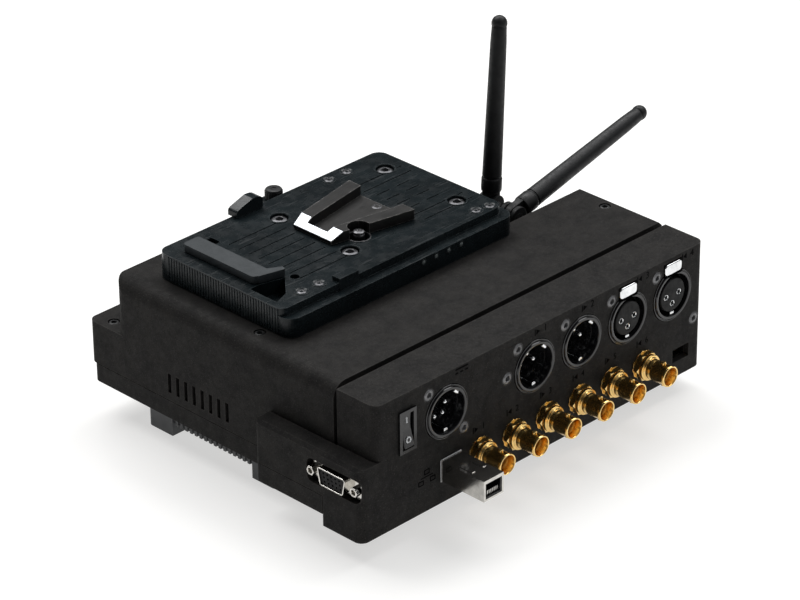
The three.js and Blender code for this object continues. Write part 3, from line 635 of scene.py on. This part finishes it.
def socket_connector(node, name, angles):
    """A round connector with holes, opened at its top for the release tab."""
    spot = on_panel(node)
    bm = turned(shell_profile(9.7, 11), 96)
    shell = on_case(f"{name}_shell", bm, spot, BLACK, 0.0, (node,))
    carve(shell, box_cutter((12.4, 5, 9), Vector((0, 12.3, 0.0)), spot))
    soften(shell, 0.06)
    insert = finished(f"{name}_insert", turned([(0, -12), (7.8, -12), (7.8, 0.1), (7.5, 0.45),
            (7.0, 0.5), (0, 0.5)], 72),
            spot, PANEL, INSULATOR, "case", 0.0)
    for k, angle in enumerate(angles, 1):
        centre = at_angle(PIN_CIRCLE, angle)
        carve(insert, cutter(turned([(0, -8), (1.45, -8), (1.45, 0.0), (1.9, 0.7), (1.9, 1), (0, 1)],
                28, 0, centre), spot))
        sleeve = turned([(0.95, -8), (1.4, -8), (1.4, 0.25), (1.25, 0.4), (0.95, 0.2)], 24, 0, centre)
        on_case(f"{name}_contact_{k}", sleeve, spot, CHROME, 0.04)
    soften(insert, 0.08)
    # Painted glint: the key is chrome so that it shows the light reflected in the black shell at its
    # bottom.
    key = extruded(rounded(2.4, 1.3, 0.3, (0, -8.75), 3), -11, 0.3)
    on_case(f"{name}_key", key, spot, CHROME, 0.2)


def box_cutter(size, offset, spot):
    bm = bmesh.new()
    bmesh.ops.create_cube(bm, size=1, matrix=Matrix.Translation(offset) @ Matrix.Diagonal((*size, 1)))
    return cutter(bm, spot)


def cutter(bm, spot, turn=PANEL):
    """A shape in millimetres at a place in the row frame, used once to cut a piece."""
    return placed("cutter", mesh_of("cutter", bm, spot, turn))


def carve(piece, tool):
    """Cuts tool out of piece for good, and throws the tool away."""
    modifier = piece.modifiers.new("cut", "BOOLEAN")
    modifier.operation = "DIFFERENCE"
    modifier.solver = "EXACT"
    modifier.object = tool
    graph = bpy.context.evaluated_depsgraph_get()
    result = bpy.data.meshes.new_from_object(piece.evaluated_get(graph))
    piece.modifiers.clear()
    piece.data = result
    bpy.data.objects.remove(tool)


def latch_tab(node, number):
    """The bright sprung tab over an input socket: a rounded plate with softened edges."""
    spot = on_panel(node)
    bm = extruded(rounded(10.6, 5.2, 1.7, steps=8), -3.8, 0.7)
    finished(f"release_tab_{number}", bm, spot, PANEL, CHROME, f"latch_{number}", 0.5,
            (node,), 38, 4)


# ---- Coaxial jacks ----
def coax_jack(i):
    """A gold bayonet jack: threaded body, two lugs, pale insulator and centre contact."""
    node = f"coax_jack_{i}"
    spot = on_panel(node)
    body = [(0, -15.8), (2.2, -15.8), (2.2, -12), (4.45, -12)]
    for k in range(11):
        z = -2.6 + k * 0.55
        body += [(4.7, z), (4.42, z + 0.27)]
    body += [(4.45, 3.7), (5.7, 3.7), (5.88, 3.9), (5.88, 4.95), (5.7, 5.15), (5.1, 5.25), (4.95, 5.7),
            (4.6, 5.85), (4.54, 7.6), (4.42, 7.9), (4.42, 8.4), (4.54, 8.7), (4.54, 14.7), (4.75, 15.0),
            (4.84, 15.5), (4.78, 16.1), (4.6, 16.36), (4.2, 16.38), (4.0, 16.1), (3.95, 8.2),
            (2.5, 8.2), (0, 8.2)]
    on_case(f"coax_body_{i}", turned(body, 72), spot, GOLD, 0.05, (node,))
    lugs = bmesh.new()
    for side in (1, -1):
        lug = turned([(0, 4.1), (1.0, 4.1), (1.0, 5.55), (0.8, 5.75), (0, 5.78)], 24)
        turn = Matrix.Rotation(math.radians(-90 * side), 4, "X")
        lug.transform(Matrix.Translation((0, 0, 12.4)) @ turn)
        absorb(lugs, lug)
    on_case(f"coax_lugs_{i}", lugs, spot, GOLD, 0.05)
    core = turned([(0, 8.0), (2.1, 8.0), (2.1, 11.0), (1.95, 11.3), (0.75, 11.3), (0.7, 9.3),
            (0, 9.3)], 40)
    on_case(f"coax_core_{i}", core, spot, DIELECTRIC, 0.05)
    tip = turned([(0, 9.1), (0.62, 9.1), (0.62, 11.1), (0.45, 11.25), (0.3, 11.0), (0, 10.8)], 24)
    on_case(f"coax_contact_{i}", tip, spot, GOLD)


def coax_nut(i):
    """The hexagon nut of a coaxial jack, over a toothed washer."""
    node = f"coax_nut_{i}"
    spot = on_panel(node)
    sides = 48
    across = 5.9            # half the hexagon's width over its flats
    outer = []
    inner = []
    for x, y in ring_points(1.0, sides, math.radians(15)):
        wedge = (math.atan2(y, x) % math.radians(60)) - math.radians(30)
        outer.append((across / math.cos(wedge) * x, across / math.cos(wedge) * y))
        inner.append((4.92 * x, 4.92 * y))
    nut = on_case(f"coax_hex_{i}", frame_outline(bmesh.new(), outer, inner, 0.75, 3.5), spot, GOLD,
            0.0, (node,))
    carve_rim(nut, spot, 6.75)
    soften(nut, 0.12)
    teeth = []
    for k, (x, y) in enumerate(ring_points(1.0, sides)):
        radius = 6.7 if k % 4 < 2 else 6.35
        teeth.append((radius * x, radius * y))
    washer = frame_outline(bmesh.new(), teeth, ring_points(5.0, sides), 0.02, 0.62)
    on_case(f"coax_washer_{i}", washer, spot, GOLD, 0.05)


def carve_rim(nut, spot, radius):
    """Turns the corners of a hexagon down to a chamfer on both faces."""
    bm = turned([(radius + 3, -1), (radius - 0.9, -1), (radius - 0.55, 0.75), (radius + 0.05, 1.2),
            (radius + 0.05, 3.0), (radius - 0.55, 3.5), (radius - 0.9, 5), (radius + 3, 5)], 60)
    carve(nut, cutter(bm, spot))


# ---- Network, data and USB sockets ----
def network_details():
    """The open mouth of the network jack: liner, contacts and two lamps, and tongues on its top."""
    low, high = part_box("network_jack")
    spot = on_front("network_jack")
    liner = bmesh.new()
    frame_outline(liner, rounded(9.5, 7.2, 0.25, (0, -0.3), 3),
            rounded(8.5, 6.1, 0.25, (0, -0.3), 3), -12.5, -0.35)
    on_case("network_liner", liner, spot, BLACK, 0.08)
    back = extruded(rounded(9.4, 7.1, 0.2, (0, -0.3), 2), -12.8, -11.6)
    on_case("network_back", back, spot, BLACK, 0.08)
    for k in range(8):
        contact = extruded(rounded(0.38, 2.2, 0.15, (-3.5 + k, -2.0), 2), -11.8, -1.2)
        on_case(f"network_contact_{k + 1}", contact, spot, NICKEL, 0.05)
    for k, (wide, aside, window) in enumerate(((3.2, 3.3, YELLOW), (2.4, -3.7, CLEAR)), 1):
        lamp = extruded(rounded(wide, 1.0, 0.2, (aside, 4.1), 3), -1.4, -0.02)
        finished(f"network_lamp_{k}", lamp, spot, PANEL, window, "case", 0.12)
    tongues = bmesh.new()
    for x in (-3.2, 3.2):
        extrude(tongues, rounded(2.2, 7.5, 0.4, (x, 0), 3), -0.15, 0.22)
    finished("network_tongues", tongues, Vector((spot.x, low.y + 12 * MM, high.z)), TOP, NICKEL, "case",
            0.1)
    collar = frame_outline(bmesh.new(), rounded(12.5, 10.6, 0.4, steps=3),
            rounded(11.7, 9.8, 0.2, steps=3), 0.02, 0.45)
    finished("network_collar", collar, on_panel("network_jack"), PANEL, STEEL, "case", 0.15)


def usb_details():
    """The tongue of the USB socket and its four contacts."""
    spot = on_front("usb_socket")
    tongue = extruded(rounded(7.2, 1.6, 0.2, (0, 0.2), 3), -8.8, -0.8)
    on_case("usb_tongue", tongue, spot, INSULATOR, 0.1)
    for k in range(4):
        strip = extruded(rounded(0.9, 0.2, 0.05, (-2.7 + k * 1.8, -0.68), 2), -8.6, -1.6)
        on_case(f"usb_contact_{k + 1}", strip, spot, GOLD)


def data_connector():
    """The D-shaped data connector on the left side: three rows of holes between two posts."""
    low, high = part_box("data_connector")
    housing_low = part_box("connector_housing")[0].x
    spot = Vector((housing_low, (low.y + high.y) / 2, (low.z + high.z) / 2))
    floor = -3.4
    flange = extruded(rounded(28.3, 8.9, 1.2, steps=5), floor + 0.3, floor + 1.1)
    finished("data_flange", flange, spot, SIDE, NICKEL, "case", 0.15, ("data_connector",))
    outer = slanted_outline(16.3, 8.1, 1.5, 1.3)
    inner = slanted_outline(15.3, 7.1, 1.5, 0.9)
    finished("data_shell", frame_outline(bmesh.new(), outer, inner, floor + 0.9, 1.15), spot, SIDE,
            NICKEL, "case", 0.15)
    insert = finished("data_insert", extruded(slanted_outline(15.1, 6.9, 1.5, 0.8), floor + 0.9, 0.5),
            spot, SIDE,
            INSULATOR, "case", 0.0)
    holes = bmesh.new()
    for row in range(3):
        for k in range(5):
            centre = (-4.6 + k * 2.3 + (0.0 if row == 1 else 0.4 * (1 if row else -1)), (1 - row) * 1.9)
            turn_profile(holes, [(0, -2), (0.42, -2), (0.42, 0.3), (0.62, 0.8), (0, 0.8)], 14, 0,
                    centre)
    carve(insert, cutter(holes, spot, SIDE))
    soften(insert, 0.05)
    for side in (-1, 1):
        post = turned([(0.001, floor + 1.0), (2.25, floor + 1.0), (2.25, 0.6), (1.9, 0.8), (1.35, 0.8),
                (1.25, 0.6),
                (1.2, -1.5), (0.001, -1.5)], 48)
        hexagon(post, 1.9, 2.3)
        post.transform(Matrix.Translation((side * 12.5, 0, 0)))
        finished(f"data_post_{1 if side < 0 else 2}", post, spot, SIDE, NICKEL, "case", 0.06)


def slanted_outline(wide, high, slant, radius):
    """The D outline: a rounded shape, wider along its top than its bottom."""
    steps = 5
    corners = [(wide / 2, high / 2), (-wide / 2, high / 2), (-wide / 2 + slant, -high / 2),
            (wide / 2 - slant, -high / 2)]
    points = []
    for i, corner in enumerate(corners):
        here = Vector(corner)
        before = (Vector(corners[i - 1]) - here).normalized()
        after = (Vector(corners[(i + 1) % 4]) - here).normalized()
        for k in range(steps + 1):
            t = k / steps
            start, end = here + before * radius, here + after * radius
            point = start * (1 - t) ** 2 + here * 2 * t * (1 - t) + end * t ** 2
            points.append((point.x, point.y))
    return points


# ---- Rocker ----
def rocker():
    """The power rocker, tipped to one side, with a bar and a ring on its face."""
    pivot = pivot_of("rocker")
    tilt = Matrix.Rotation(math.radians(-7), 4, "X")
    half = 7.6
    outline = []
    for k in range(17):
        z = -half + 2 * half * k / 16
        outline.append((3.35 - 1.15 * (1 - (abs(z) / half) ** 1.3), z))
    outline += [(-0.6, half), (-5, 3.2), (-5, -3.2), (-0.6, -half)]
    bm = extruded(outline, -2.75, 2.75)
    stand = Matrix(((0, 0, 1, 0), (-1, 0, 0, 0), (0, 1, 0, 0), (0, 0, 0, 1)))
    finished("rocker_key", bm, pivot, tilt @ stand, BLACK, "rocker", 0.35,
            ("rocker",), 30, 3)
    face = tilt @ PANEL
    bar = extruded(rounded(0.8, 2.6, 0.2, (0, 4.5), 3), 2.2, 3.0)
    finished("rocker_bar_mark", bar, pivot, face, GREY_MARK, "rocker")
    ring = frame_outline(bmesh.new(), ring_points(1.45, 32), ring_points(0.85, 32), 2.0, 2.98)
    ring.transform(Matrix.Translation((0, -4.4, 0)))
    finished("rocker_ring_mark", ring, pivot, face, GREY_MARK, "rocker")


# ---- Antennas ----
def antenna(number):
    """One whip antenna: threaded jack and nut, swivel sleeve with its hinge, and whip."""
    jack, base, whip = (f"antenna_{part}_{number}" for part in ("jack", "base", "whip"))
    low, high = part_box(jack)
    spot = Vector(((low.x + high.x) / 2, (low.y + high.y) / 2, 0))
    bottom, height = low.z / MM, high.z / MM
    thread = [(0, bottom), (1, bottom), (1, bottom + 3), (3.0, bottom + 3)]
    z = bottom + 3.4
    while z < height - 0.7:
        thread += [(3.1, z), (2.85, z + 0.25)]
        z += 0.5
    thread += [(2.9, height - 0.4), (2.6, height), (0, height)]
    finished(f"jack_thread_{number}", turned(thread, 40), spot, TOP, GOLD, "case", 0.0, (jack,))
    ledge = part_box("casing_screw_3")[1].z / MM + 0.3
    nut = extruded(ring_points(5.35, 6), ledge + 0.02, ledge + 2.2)
    finished(f"jack_nut_{number}", nut, spot, TOP, GOLD, "case", 0.25)
    pivot = pivot_of(f"antenna_{number}_whip")
    swivel_sleeve(number, spot, pivot, base)
    whip_rod(number, pivot, whip)


def swivel_sleeve(number, spot, pivot, base):
    """The sleeve that turns on the jack, its knurl, and the two ears that hold the hinge pin."""
    body = f"antenna_{number}_base"
    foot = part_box(base)[0].z / MM
    knee = pivot.z / MM
    profile = [(3.45, foot), (4.9, foot), (5.1, foot + 0.3), (5.1, foot + 7.0), (4.9, foot + 7.4),
            (4.3, foot + 7.8), (4.3, foot + 8.4), (4.75, foot + 9.0), (4.75, knee - 6.6),
            (4.2, knee - 5.9), (0, knee - 5.9), (0, foot + 6.8), (3.45, foot + 6.8)]
    finished(f"antenna_sleeve_{number}", turned(profile), spot, TOP, RUBBER, body,
            0.12, (base,))
    knurl = ribbed_ring(30, 5.0, 0.55, 0.5, foot + 0.9, foot + 6.4)
    finished(f"antenna_knurl_{number}", knurl, spot, TOP, RUBBER, body, 0.06)
    for ear_number, turn in ((1, HINGE), (2, Matrix.Diagonal((1, -1, 1, 1)) @ HINGE)):
        ear = extruded(ear_outline(4.35, 8.6), 2.15, 4.35)
        finished(f"antenna_ear_{number}_{ear_number}", ear, pivot, turn, RUBBER, body,
                0.35, (), 38, 3)
        cap = turned([(0, 3.9), (1.7, 3.9), (1.7, 4.36), (1.45, 4.4), (0.5, 4.4), (0, 4.2)], 32)
        finished(f"antenna_pin_cap_{number}_{ear_number}", cap, pivot, turn, DARK_STEEL, body,
                0.04)


def ear_outline(radius, drop):
    """Round at the top about the hinge, straight down below it."""
    points = [at_angle(radius, a) for a in range(0, 181, 10)]
    return points + [(-radius, -drop), (radius, -drop)]


def whip_rod(number, pivot, node):
    """The whip: a collared root, a slow taper, a round tip, and the tongue between the ears."""
    body = f"antenna_{number}_whip"
    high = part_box(node)[1]
    tip = 3.5               # radius of the round tip
    reach = Vector((high.x - pivot.x - tip * MM, 0, high.z - pivot.z - tip * MM))
    length = reach.length / MM + tip
    turn = Matrix.Rotation(math.atan2(reach.x, reach.z), 4, "Y")
    root, stop = 14.2, length - tip
    profile = [(0, 5.7), (4.0, 5.7), (4.5, 6.1), (4.62, 6.9), (4.62, 11.6), (4.45, 12.2), (4.1, 12.5),
            (4.1, 13.1),
            (4.4, 13.4), (4.35, root)]
    for k in range(1, 9):
        t = k / 9
        profile.append((4.35 - 0.85 * t, root + (stop - 1.6 - root) * t))
    profile += [(3.3, stop - 1.5), (3.2, stop - 1.2), (3.45, stop - 0.9)]
    for a in range(0, 90, 10):
        radius, rise = at_angle(tip, a)
        profile.append((radius, stop + rise))
    profile.append((0, length))
    finished(f"whip_{number}", turned(profile), pivot, turn, RUBBER, body, 0.0,
            (node,))
    tongue = extruded(ear_outline(4.2, 6.2), -1.75, 1.75)
    flip = HINGE @ Matrix.Rotation(math.pi, 4, "Z")
    finished(f"whip_tongue_{number}", tongue, pivot, turn @ flip, RUBBER, body, 0.3,
            (), 38, 3)
    pin = turned([(0, -4.15), (1.15, -4.15), (1.15, 4.15), (0, 4.15)], 24)
    finished(f"whip_pin_{number}", pin, pivot, turn @ HINGE, DARK_STEEL, body)


# ---- Battery plate details ----
def plate_details():
    """Everything small on the battery plate."""
    low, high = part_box("battery_plate")
    top = plate_top()
    shoe_low, shoe_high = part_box("battery_shoe")
    corner_rings(low, high, top)
    side_ribs(low)
    side_lamps(low)
    ramp(shoe_low, shoe_high)
    contact_blades()
    lock_pin()
    stop_knob()
    slot_screw = Vector((shoe_high.x - 3 * MM, (shoe_low.y + shoe_high.y) / 2, top))
    bm = turned([(0, -1.2), (2.6, -1.2), (2.6, 0.1), (2.2, 0.5), (1.3, 0.6), (1.1, 0.2), (0, 0.1)], 40)
    finished("slot_floor_screw", bm, slot_screw, TOP, DARK_STEEL, "case", 0.06)


def corner_rings(low, high, top):
    """Pairs of small capped screws near the plate's edges."""
    pairs = [(low.x + 17 * MM, low.y + 11 * MM), (low.x + 27 * MM, low.y + 11 * MM),
            (high.x - 38 * MM, low.y + 76.5 * MM), (high.x - 27 * MM, low.y + 76.5 * MM),
            (high.x - 14.5 * MM, low.y + 9.8 * MM), (high.x - 7.2 * MM, low.y + 8.6 * MM)]
    for k, (x, y) in enumerate(pairs, 1):
        ring = turned([(2.1, -0.3), (3.5, -0.3), (3.5, 0.1), (3.3, 0.3), (2.7, 0.32), (2.4, 0.1),
                (2.1, 0.0)], 40)
        finished(f"cap_ring_{k}", ring, Vector((x, y, top)), TOP, PLATE, "case", 0.04)
        cap = turned([(0, -0.4), (2.0, -0.4), (2.0, -0.05), (1.7, 0.12), (0.8, 0.14), (0.65, -0.1),
                (0, -0.1)], 32)
        finished(f"cap_screw_{k}", cap, Vector((x, y, top)), TOP, DARK_STEEL, "case", 0.04)


def side_ribs(low):
    """Fine upright ribs down the plate's left end."""
    ribs = bmesh.new()
    count = 42
    span = 66.5
    for k in range(count):
        x = -span / 2 + span * k / (count - 1)
        extrude(ribs, rounded(0.95, 10.9, 0.3, (x, 0), 3), -0.4, 0.34)
    spot = Vector((low.x, low.y + 41.25 * MM, low.z + 6.1 * MM))
    finished("plate_end_ribs", ribs, spot, SIDE, PLATE, "case", 0.1)


def side_lamps(low):
    """A row of charge lamps along the plate's near side."""
    for k in range(4):
        spot = Vector((low.x + (78 + 7.6 * k) * MM, low.y, low.z + 6.8 * MM))
        ring = turned([(0.9, -0.4), (1.5, -0.4), (1.5, 0.12), (1.3, 0.2), (0.95, 0.1)], 32)
        on_case(f"lamp_ring_{k + 1}", ring, spot, PLATE, 0.03)
        lens = turned([(0, -0.4), (0.9, -0.4), (0.9, 0.05), (0.6, 0.22), (0, 0.28)], 28)
        on_case(f"lamp_lens_{k + 1}", lens, spot, CLEAR)


def ramp(low, high):
    """The bare polished slope around the closed end of the shoe's slot."""
    centre = (low.y + high.y) / 2
    rise = (high.z - low.z - 1.2 * MM) / (7.2 * MM)
    outline = [(0.1, -11.3), (3.1, -12.0), (6.1, -12.6), (6.1, -6.8), (3.1, -6.2), (3.1, 6.2),
            (6.1, 6.8),
            (6.1, 12.6), (3.1, 12.0), (0.1, 11.3)]
    bm = extruded(outline, -0.2, 0.1)
    for vert in bm.verts:
        vert.co.z += rise * vert.co.x
    spot = Vector((low.x, centre, low.z + (1.2 + rise) * MM))
    finished("shoe_ramp", bm, spot, TOP, POLISHED, "case", 0.05)
    floor_outline = [(3.3, -5.9), (41.5, -12.8), (41.5, 12.8), (3.3, 5.9)]
    bm = extruded(floor_outline, -0.35, 0.12)
    finished("shoe_slot_floor", bm, Vector((low.x, centre, low.z)), TOP, SHOE, "case",
            0.04)


def contact_blades():
    """The brass blades in the contact block's slots."""
    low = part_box("contact_block")[0]
    for k in range(4):
        spot = low + Vector((7.0, 12.3 + 9 * k, 0)) * MM
        bm = extruded(rounded(3.6, 0.8, 0.25, (0, 0), 3), 0.95, 2.3)
        finished(f"contact_blade_{k + 1}", bm, spot, TOP, BRASS, "case", 0.1)


def lock_pin():
    """The sprung pin that holds a battery, in its collar."""
    spot = on_top("lock_pin")
    bm = turned([(0, -9.7), (2.5, -9.7), (2.58, -9.4), (2.58, -1.6), (2.3, -1.3), (2.3, -1.0),
            (2.58, -0.8), (2.5, -0.35),
            (2.1, -0.08), (0.9, 0), (0.7, -0.35), (0, -0.4)], 56)
    finished("lock_pin_turned", bm, spot, TOP, DARK_STEEL, "lock_pin", 0.05, ("lock_pin",))
    rim = turned([(4.7, -5), (4.66, -2.95), (4.95, -2.6), (5.35, -2.62), (5.4, -2.9), (5.0, -5)], 56)
    finished("lock_pin_collar", rim, spot, TOP, DARK_STEEL, "case", 0.05)


def stop_knob():
    """The ribbed knob beside the shoe."""
    low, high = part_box("stop_knob")
    spot = Vector(((low.x + high.x) / 2, (low.y + high.y) / 2, low.z))
    bm = turned([(0, 0), (3.6, 0), (3.8, 0.2), (3.8, 4.0), (3.5, 4.5), (2.6, 4.76), (1.2, 4.7),
            (1.0, 4.3), (0, 4.3)], 64)
    finished("stop_knob_turned", bm, spot, TOP, RUBBER, "case", 0.08, ("stop_knob",))
    grip = ribbed_ring(22, 3.8, 0.5, 0.55, 0.5, 3.8)
    finished("stop_knob_grip", grip, spot, TOP, RUBBER, "case", 0.05)


# ---- Generic marks on the panel ----
def numeral(name, words, size_mm, spot):
    """A plain numeral on the panel, shown as a thin dark inlay."""
    curve = bpy.data.curves.new(name, "FONT")
    curve.body = words
    curve.size = size_mm * MM
    curve.align_x = "CENTER"
    curve.align_y = "CENTER"
    curve.extrude = 0.06 * MM
    curve.resolution_u = 3
    maker = placed(name, curve)
    graph = bpy.context.evaluated_depsgraph_get()
    mesh = bpy.data.meshes.new_from_object(maker.evaluated_get(graph))
    bpy.data.objects.remove(maker)
    mesh.transform(Matrix.Translation(spot) @ PANEL)
    mesh.materials.clear()
    mesh.materials.append(SHADE)
    piece = placed(name, mesh)
    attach(piece, "case")


def panel_marks():
    """Plain numerals, arrows and signs beside the connectors."""
    round_names = ["output_plug_1", "output_plug_2", "input_socket_1", "input_socket_2"]
    for k, node in enumerate(round_names, 1):
        aside = 12.5 if k > 2 else 6.5          # clear of the release tab over an input socket
        spot = on_panel(node) + Vector((aside * MM, 0, 15.6 * MM))
        numeral(f"mark_round_{k}", str(k), 4.6, spot)
        flow_mark(f"flow_round_{k}", spot + Vector((-4.6 * MM, 0, 0)), inward=k > 2)
    for k in range(1, JACK_COUNT + 1):
        spot = on_panel(f"coax_jack_{k}") + Vector((2.5 * MM, 0, 10.9 * MM))
        numeral(f"mark_coax_{k}", str(k), 4.2, spot)
        flow_mark(f"flow_coax_{k}", spot + Vector((-4.4 * MM, 0, 0)), inward=k % 2 == 0)
    power = on_panel("power_inlet") + Vector((9 * MM, 0, 16.2 * MM))
    bars = bmesh.new()
    extrude(bars, rounded(7.5, 0.7, 0.2, (0, 0.9), 2), *MARK)
    for x in (-2.9, 0, 2.9):
        extrude(bars, rounded(1.7, 0.7, 0.2, (x, -0.9), 2), *MARK)
    finished("mark_direct_current", bars, power, PANEL, SHADE, "case")
    network = on_panel("network_jack") + Vector((-14 * MM, 0, 1 * MM))
    tree = bmesh.new()
    for x, y in ((0, 2.2), (-3.4, -2.2), (3.4, -2.2)):
        frame_outline(tree, rounded(3.2, 2.4, 0.3, (x, y), 2),
                rounded(2.2, 1.4, 0.2, (x, y), 2), *MARK)
    extrude(tree, rounded(7.2, 0.45, 0.1, (0, 0), 2), *MARK)
    finished("mark_network", tree, network, PANEL, SHADE, "case")


def flow_mark(name, spot, inward):
    """An arrow against a bar: into the unit or out of it."""
    way = -1 if inward else 1
    bm = bmesh.new()
    extrude(bm, [(-1.0 * way, -1.3), (1.2 * way, 0), (-1.0 * way, 1.3)], *MARK)
    extrude(bm, rounded(0.5, 3.0, 0.1, (-1.7, 0), 2), *MARK)
    finished(name, bm, spot, PANEL, SHADE, "case")


# ---- Inside ----
def seam_liner():
    """The dark blue liner that closes the joint between the connector housing and the casing, with a
    pale blue strip along its top as a painted reflection.
    """
    low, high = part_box("connector_housing")
    case_low, case_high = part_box("main_casing")
    wide, tall = (case_high.x - case_low.x) / MM - 2.4, (high.z - low.z) / MM - 6
    outer = rounded(wide, tall, 5)
    inner = rounded(wide - 5, tall - 5, 3)
    bm = frame_outline(bmesh.new(), outer, inner, -0.7, 0.7)
    spot = Vector(((case_low.x + case_high.x) / 2, case_low.y - 1 * MM,
            (high.z + low.z) / 2 + 1.6 * MM))
    on_case("seam_liner", bm, spot, NAVY, 0.15)
    # Painted reflection: a pale blue strip for the line of light reflected in the liner.
    reflection_line = extruded(rounded(54, 0.5, 0.2, steps=3), -0.3, 0.15)
    finished("seam_reflection_line", reflection_line, Vector((spot.x + 37 * MM, spot.y, spot.z + tall / 2 * MM)), TOP,
            REFLECTION_BLUE,
            "case", 0.1)


def board_parts():
    """Rows of chips on the main board."""
    low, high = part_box("main_board")
    top = high.z
    chips = bmesh.new()
    for k in range(5):
        for row in range(3):
            wide = 9 + 3 * ((k + row) % 3)
            extrude(chips, rounded(wide, wide * 0.8, 0.3, (24 + 17 * k, 18 + 24 * row), 2), 0.05, 1.8,
                    0.98)
    finished("board_chips", chips, Vector((low.x, low.y, top)), TOP, CHIP, "case", 0.1)


panel_screws()
casing_screws()
plate_screws()
plug_connector("power_inlet", "power", (18, 162, 234, 306))
for index in (1, 2):
    plug_connector(f"output_plug_{index}", f"output_{index}", (0, 90, 180))
    socket_connector(f"input_socket_{index}", f"input_{index}", (0, 180, 270))
    latch_tab(f"latch_tab_{index}", index)
    antenna(index)
for index in range(1, JACK_COUNT + 1):
    coax_jack(index)
    coax_nut(index)
network_details()
usb_details()
data_connector()
rocker()
plate_details()
panel_marks()
seam_liner()
board_parts()


# ---- Floor, light and camera ----
def floor():
    """The pale table that the unit stands on."""
    wide = 6000
    bm = extruded(rounded(wide, wide, 300), -10, -0.02)
    mesh = mesh_of("floor", bm, Vector(), TOP)
    paint = Paint("floor", (0.46, 0.458, 0.452), 0.7, Specular_IOR_Level=0.05)
    paint.set("Emission Color", (1.0, 0.995, 0.985, 1))
    paint.set("Emission Strength", 0.60)
    paint.uneven(40, 3, 0.62, 0.78)
    mesh.materials.append(paint.material)
    piece = placed("floor", mesh)


def soft_box(name, target, direction, distance, size, watts, color=(1, 1, 1)):
    """A rectangular light at a distance from the target, turned to face it."""
    light = bpy.data.lights.new(name, "AREA")
    light.shape = "RECTANGLE"
    light.size, light.size_y = size
    light.energy = watts
    light.color = color
    lamp = placed(name, light)
    lamp.location = target + Vector(direction).normalized() * distance
    lamp.rotation_euler = (target - lamp.location).to_track_quat("-Z", "Y").to_euler()


def lighting():
    target = Vector((0.02, 0.05, 0.0))
    soft_box("key", target, (0.06, 0.55, 0.84), 3.0, (2.6, 1.7), 88)
    soft_box("top", target, (0.75, 0.05, 1.0), 2.6, (1.8, 1.8), 46)
    soft_box("front", target, (0.35, -0.72, 0.75), 3.0, (2.6, 2.2), 15, (0.97, 0.985, 1.0))
    world = bpy.data.worlds.new("studio")
    bpy.context.scene.world = world
    world.use_nodes = True
    background = world.node_tree.nodes["Background"]
    background.inputs["Color"].default_value = (0.93, 0.97, 1.0, 1)
    background.inputs["Strength"].default_value = 0.05


def camera():
    """A long lens, set high and to the left of the panel."""
    azimuth, elevation, roll = math.radians(-44.91), math.radians(28.50), math.radians(-0.575)
    distance = 1.67516
    target = Vector((0.03502, -0.01219, 0.0404))
    back = Vector((math.sin(azimuth) * math.cos(elevation), -math.cos(azimuth) * math.cos(elevation),
            math.sin(elevation)))
    right = Vector((math.cos(azimuth), math.sin(azimuth), 0))
    up = back.cross(right)
    x_axis = right * math.cos(roll) + up * math.sin(roll)
    y_axis = up * math.cos(roll) - right * math.sin(roll)
    lens = bpy.data.cameras.new("camera")
    lens.sensor_width = 36
    lens.lens = 172.9
    lens.clip_end = 50
    view = placed("camera", lens)
    columns = (x_axis, y_axis, back, target + back * distance)
    rows = [[column[i] for column in columns] for i in range(3)]
    view.matrix_world = Matrix(rows + [[0, 0, 0, 1]])
    bpy.context.scene.camera = view


floor()
lighting()
camera()
bpy.context.scene.view_settings.view_transform = "Standard"

bpy.context.view_layer.update()
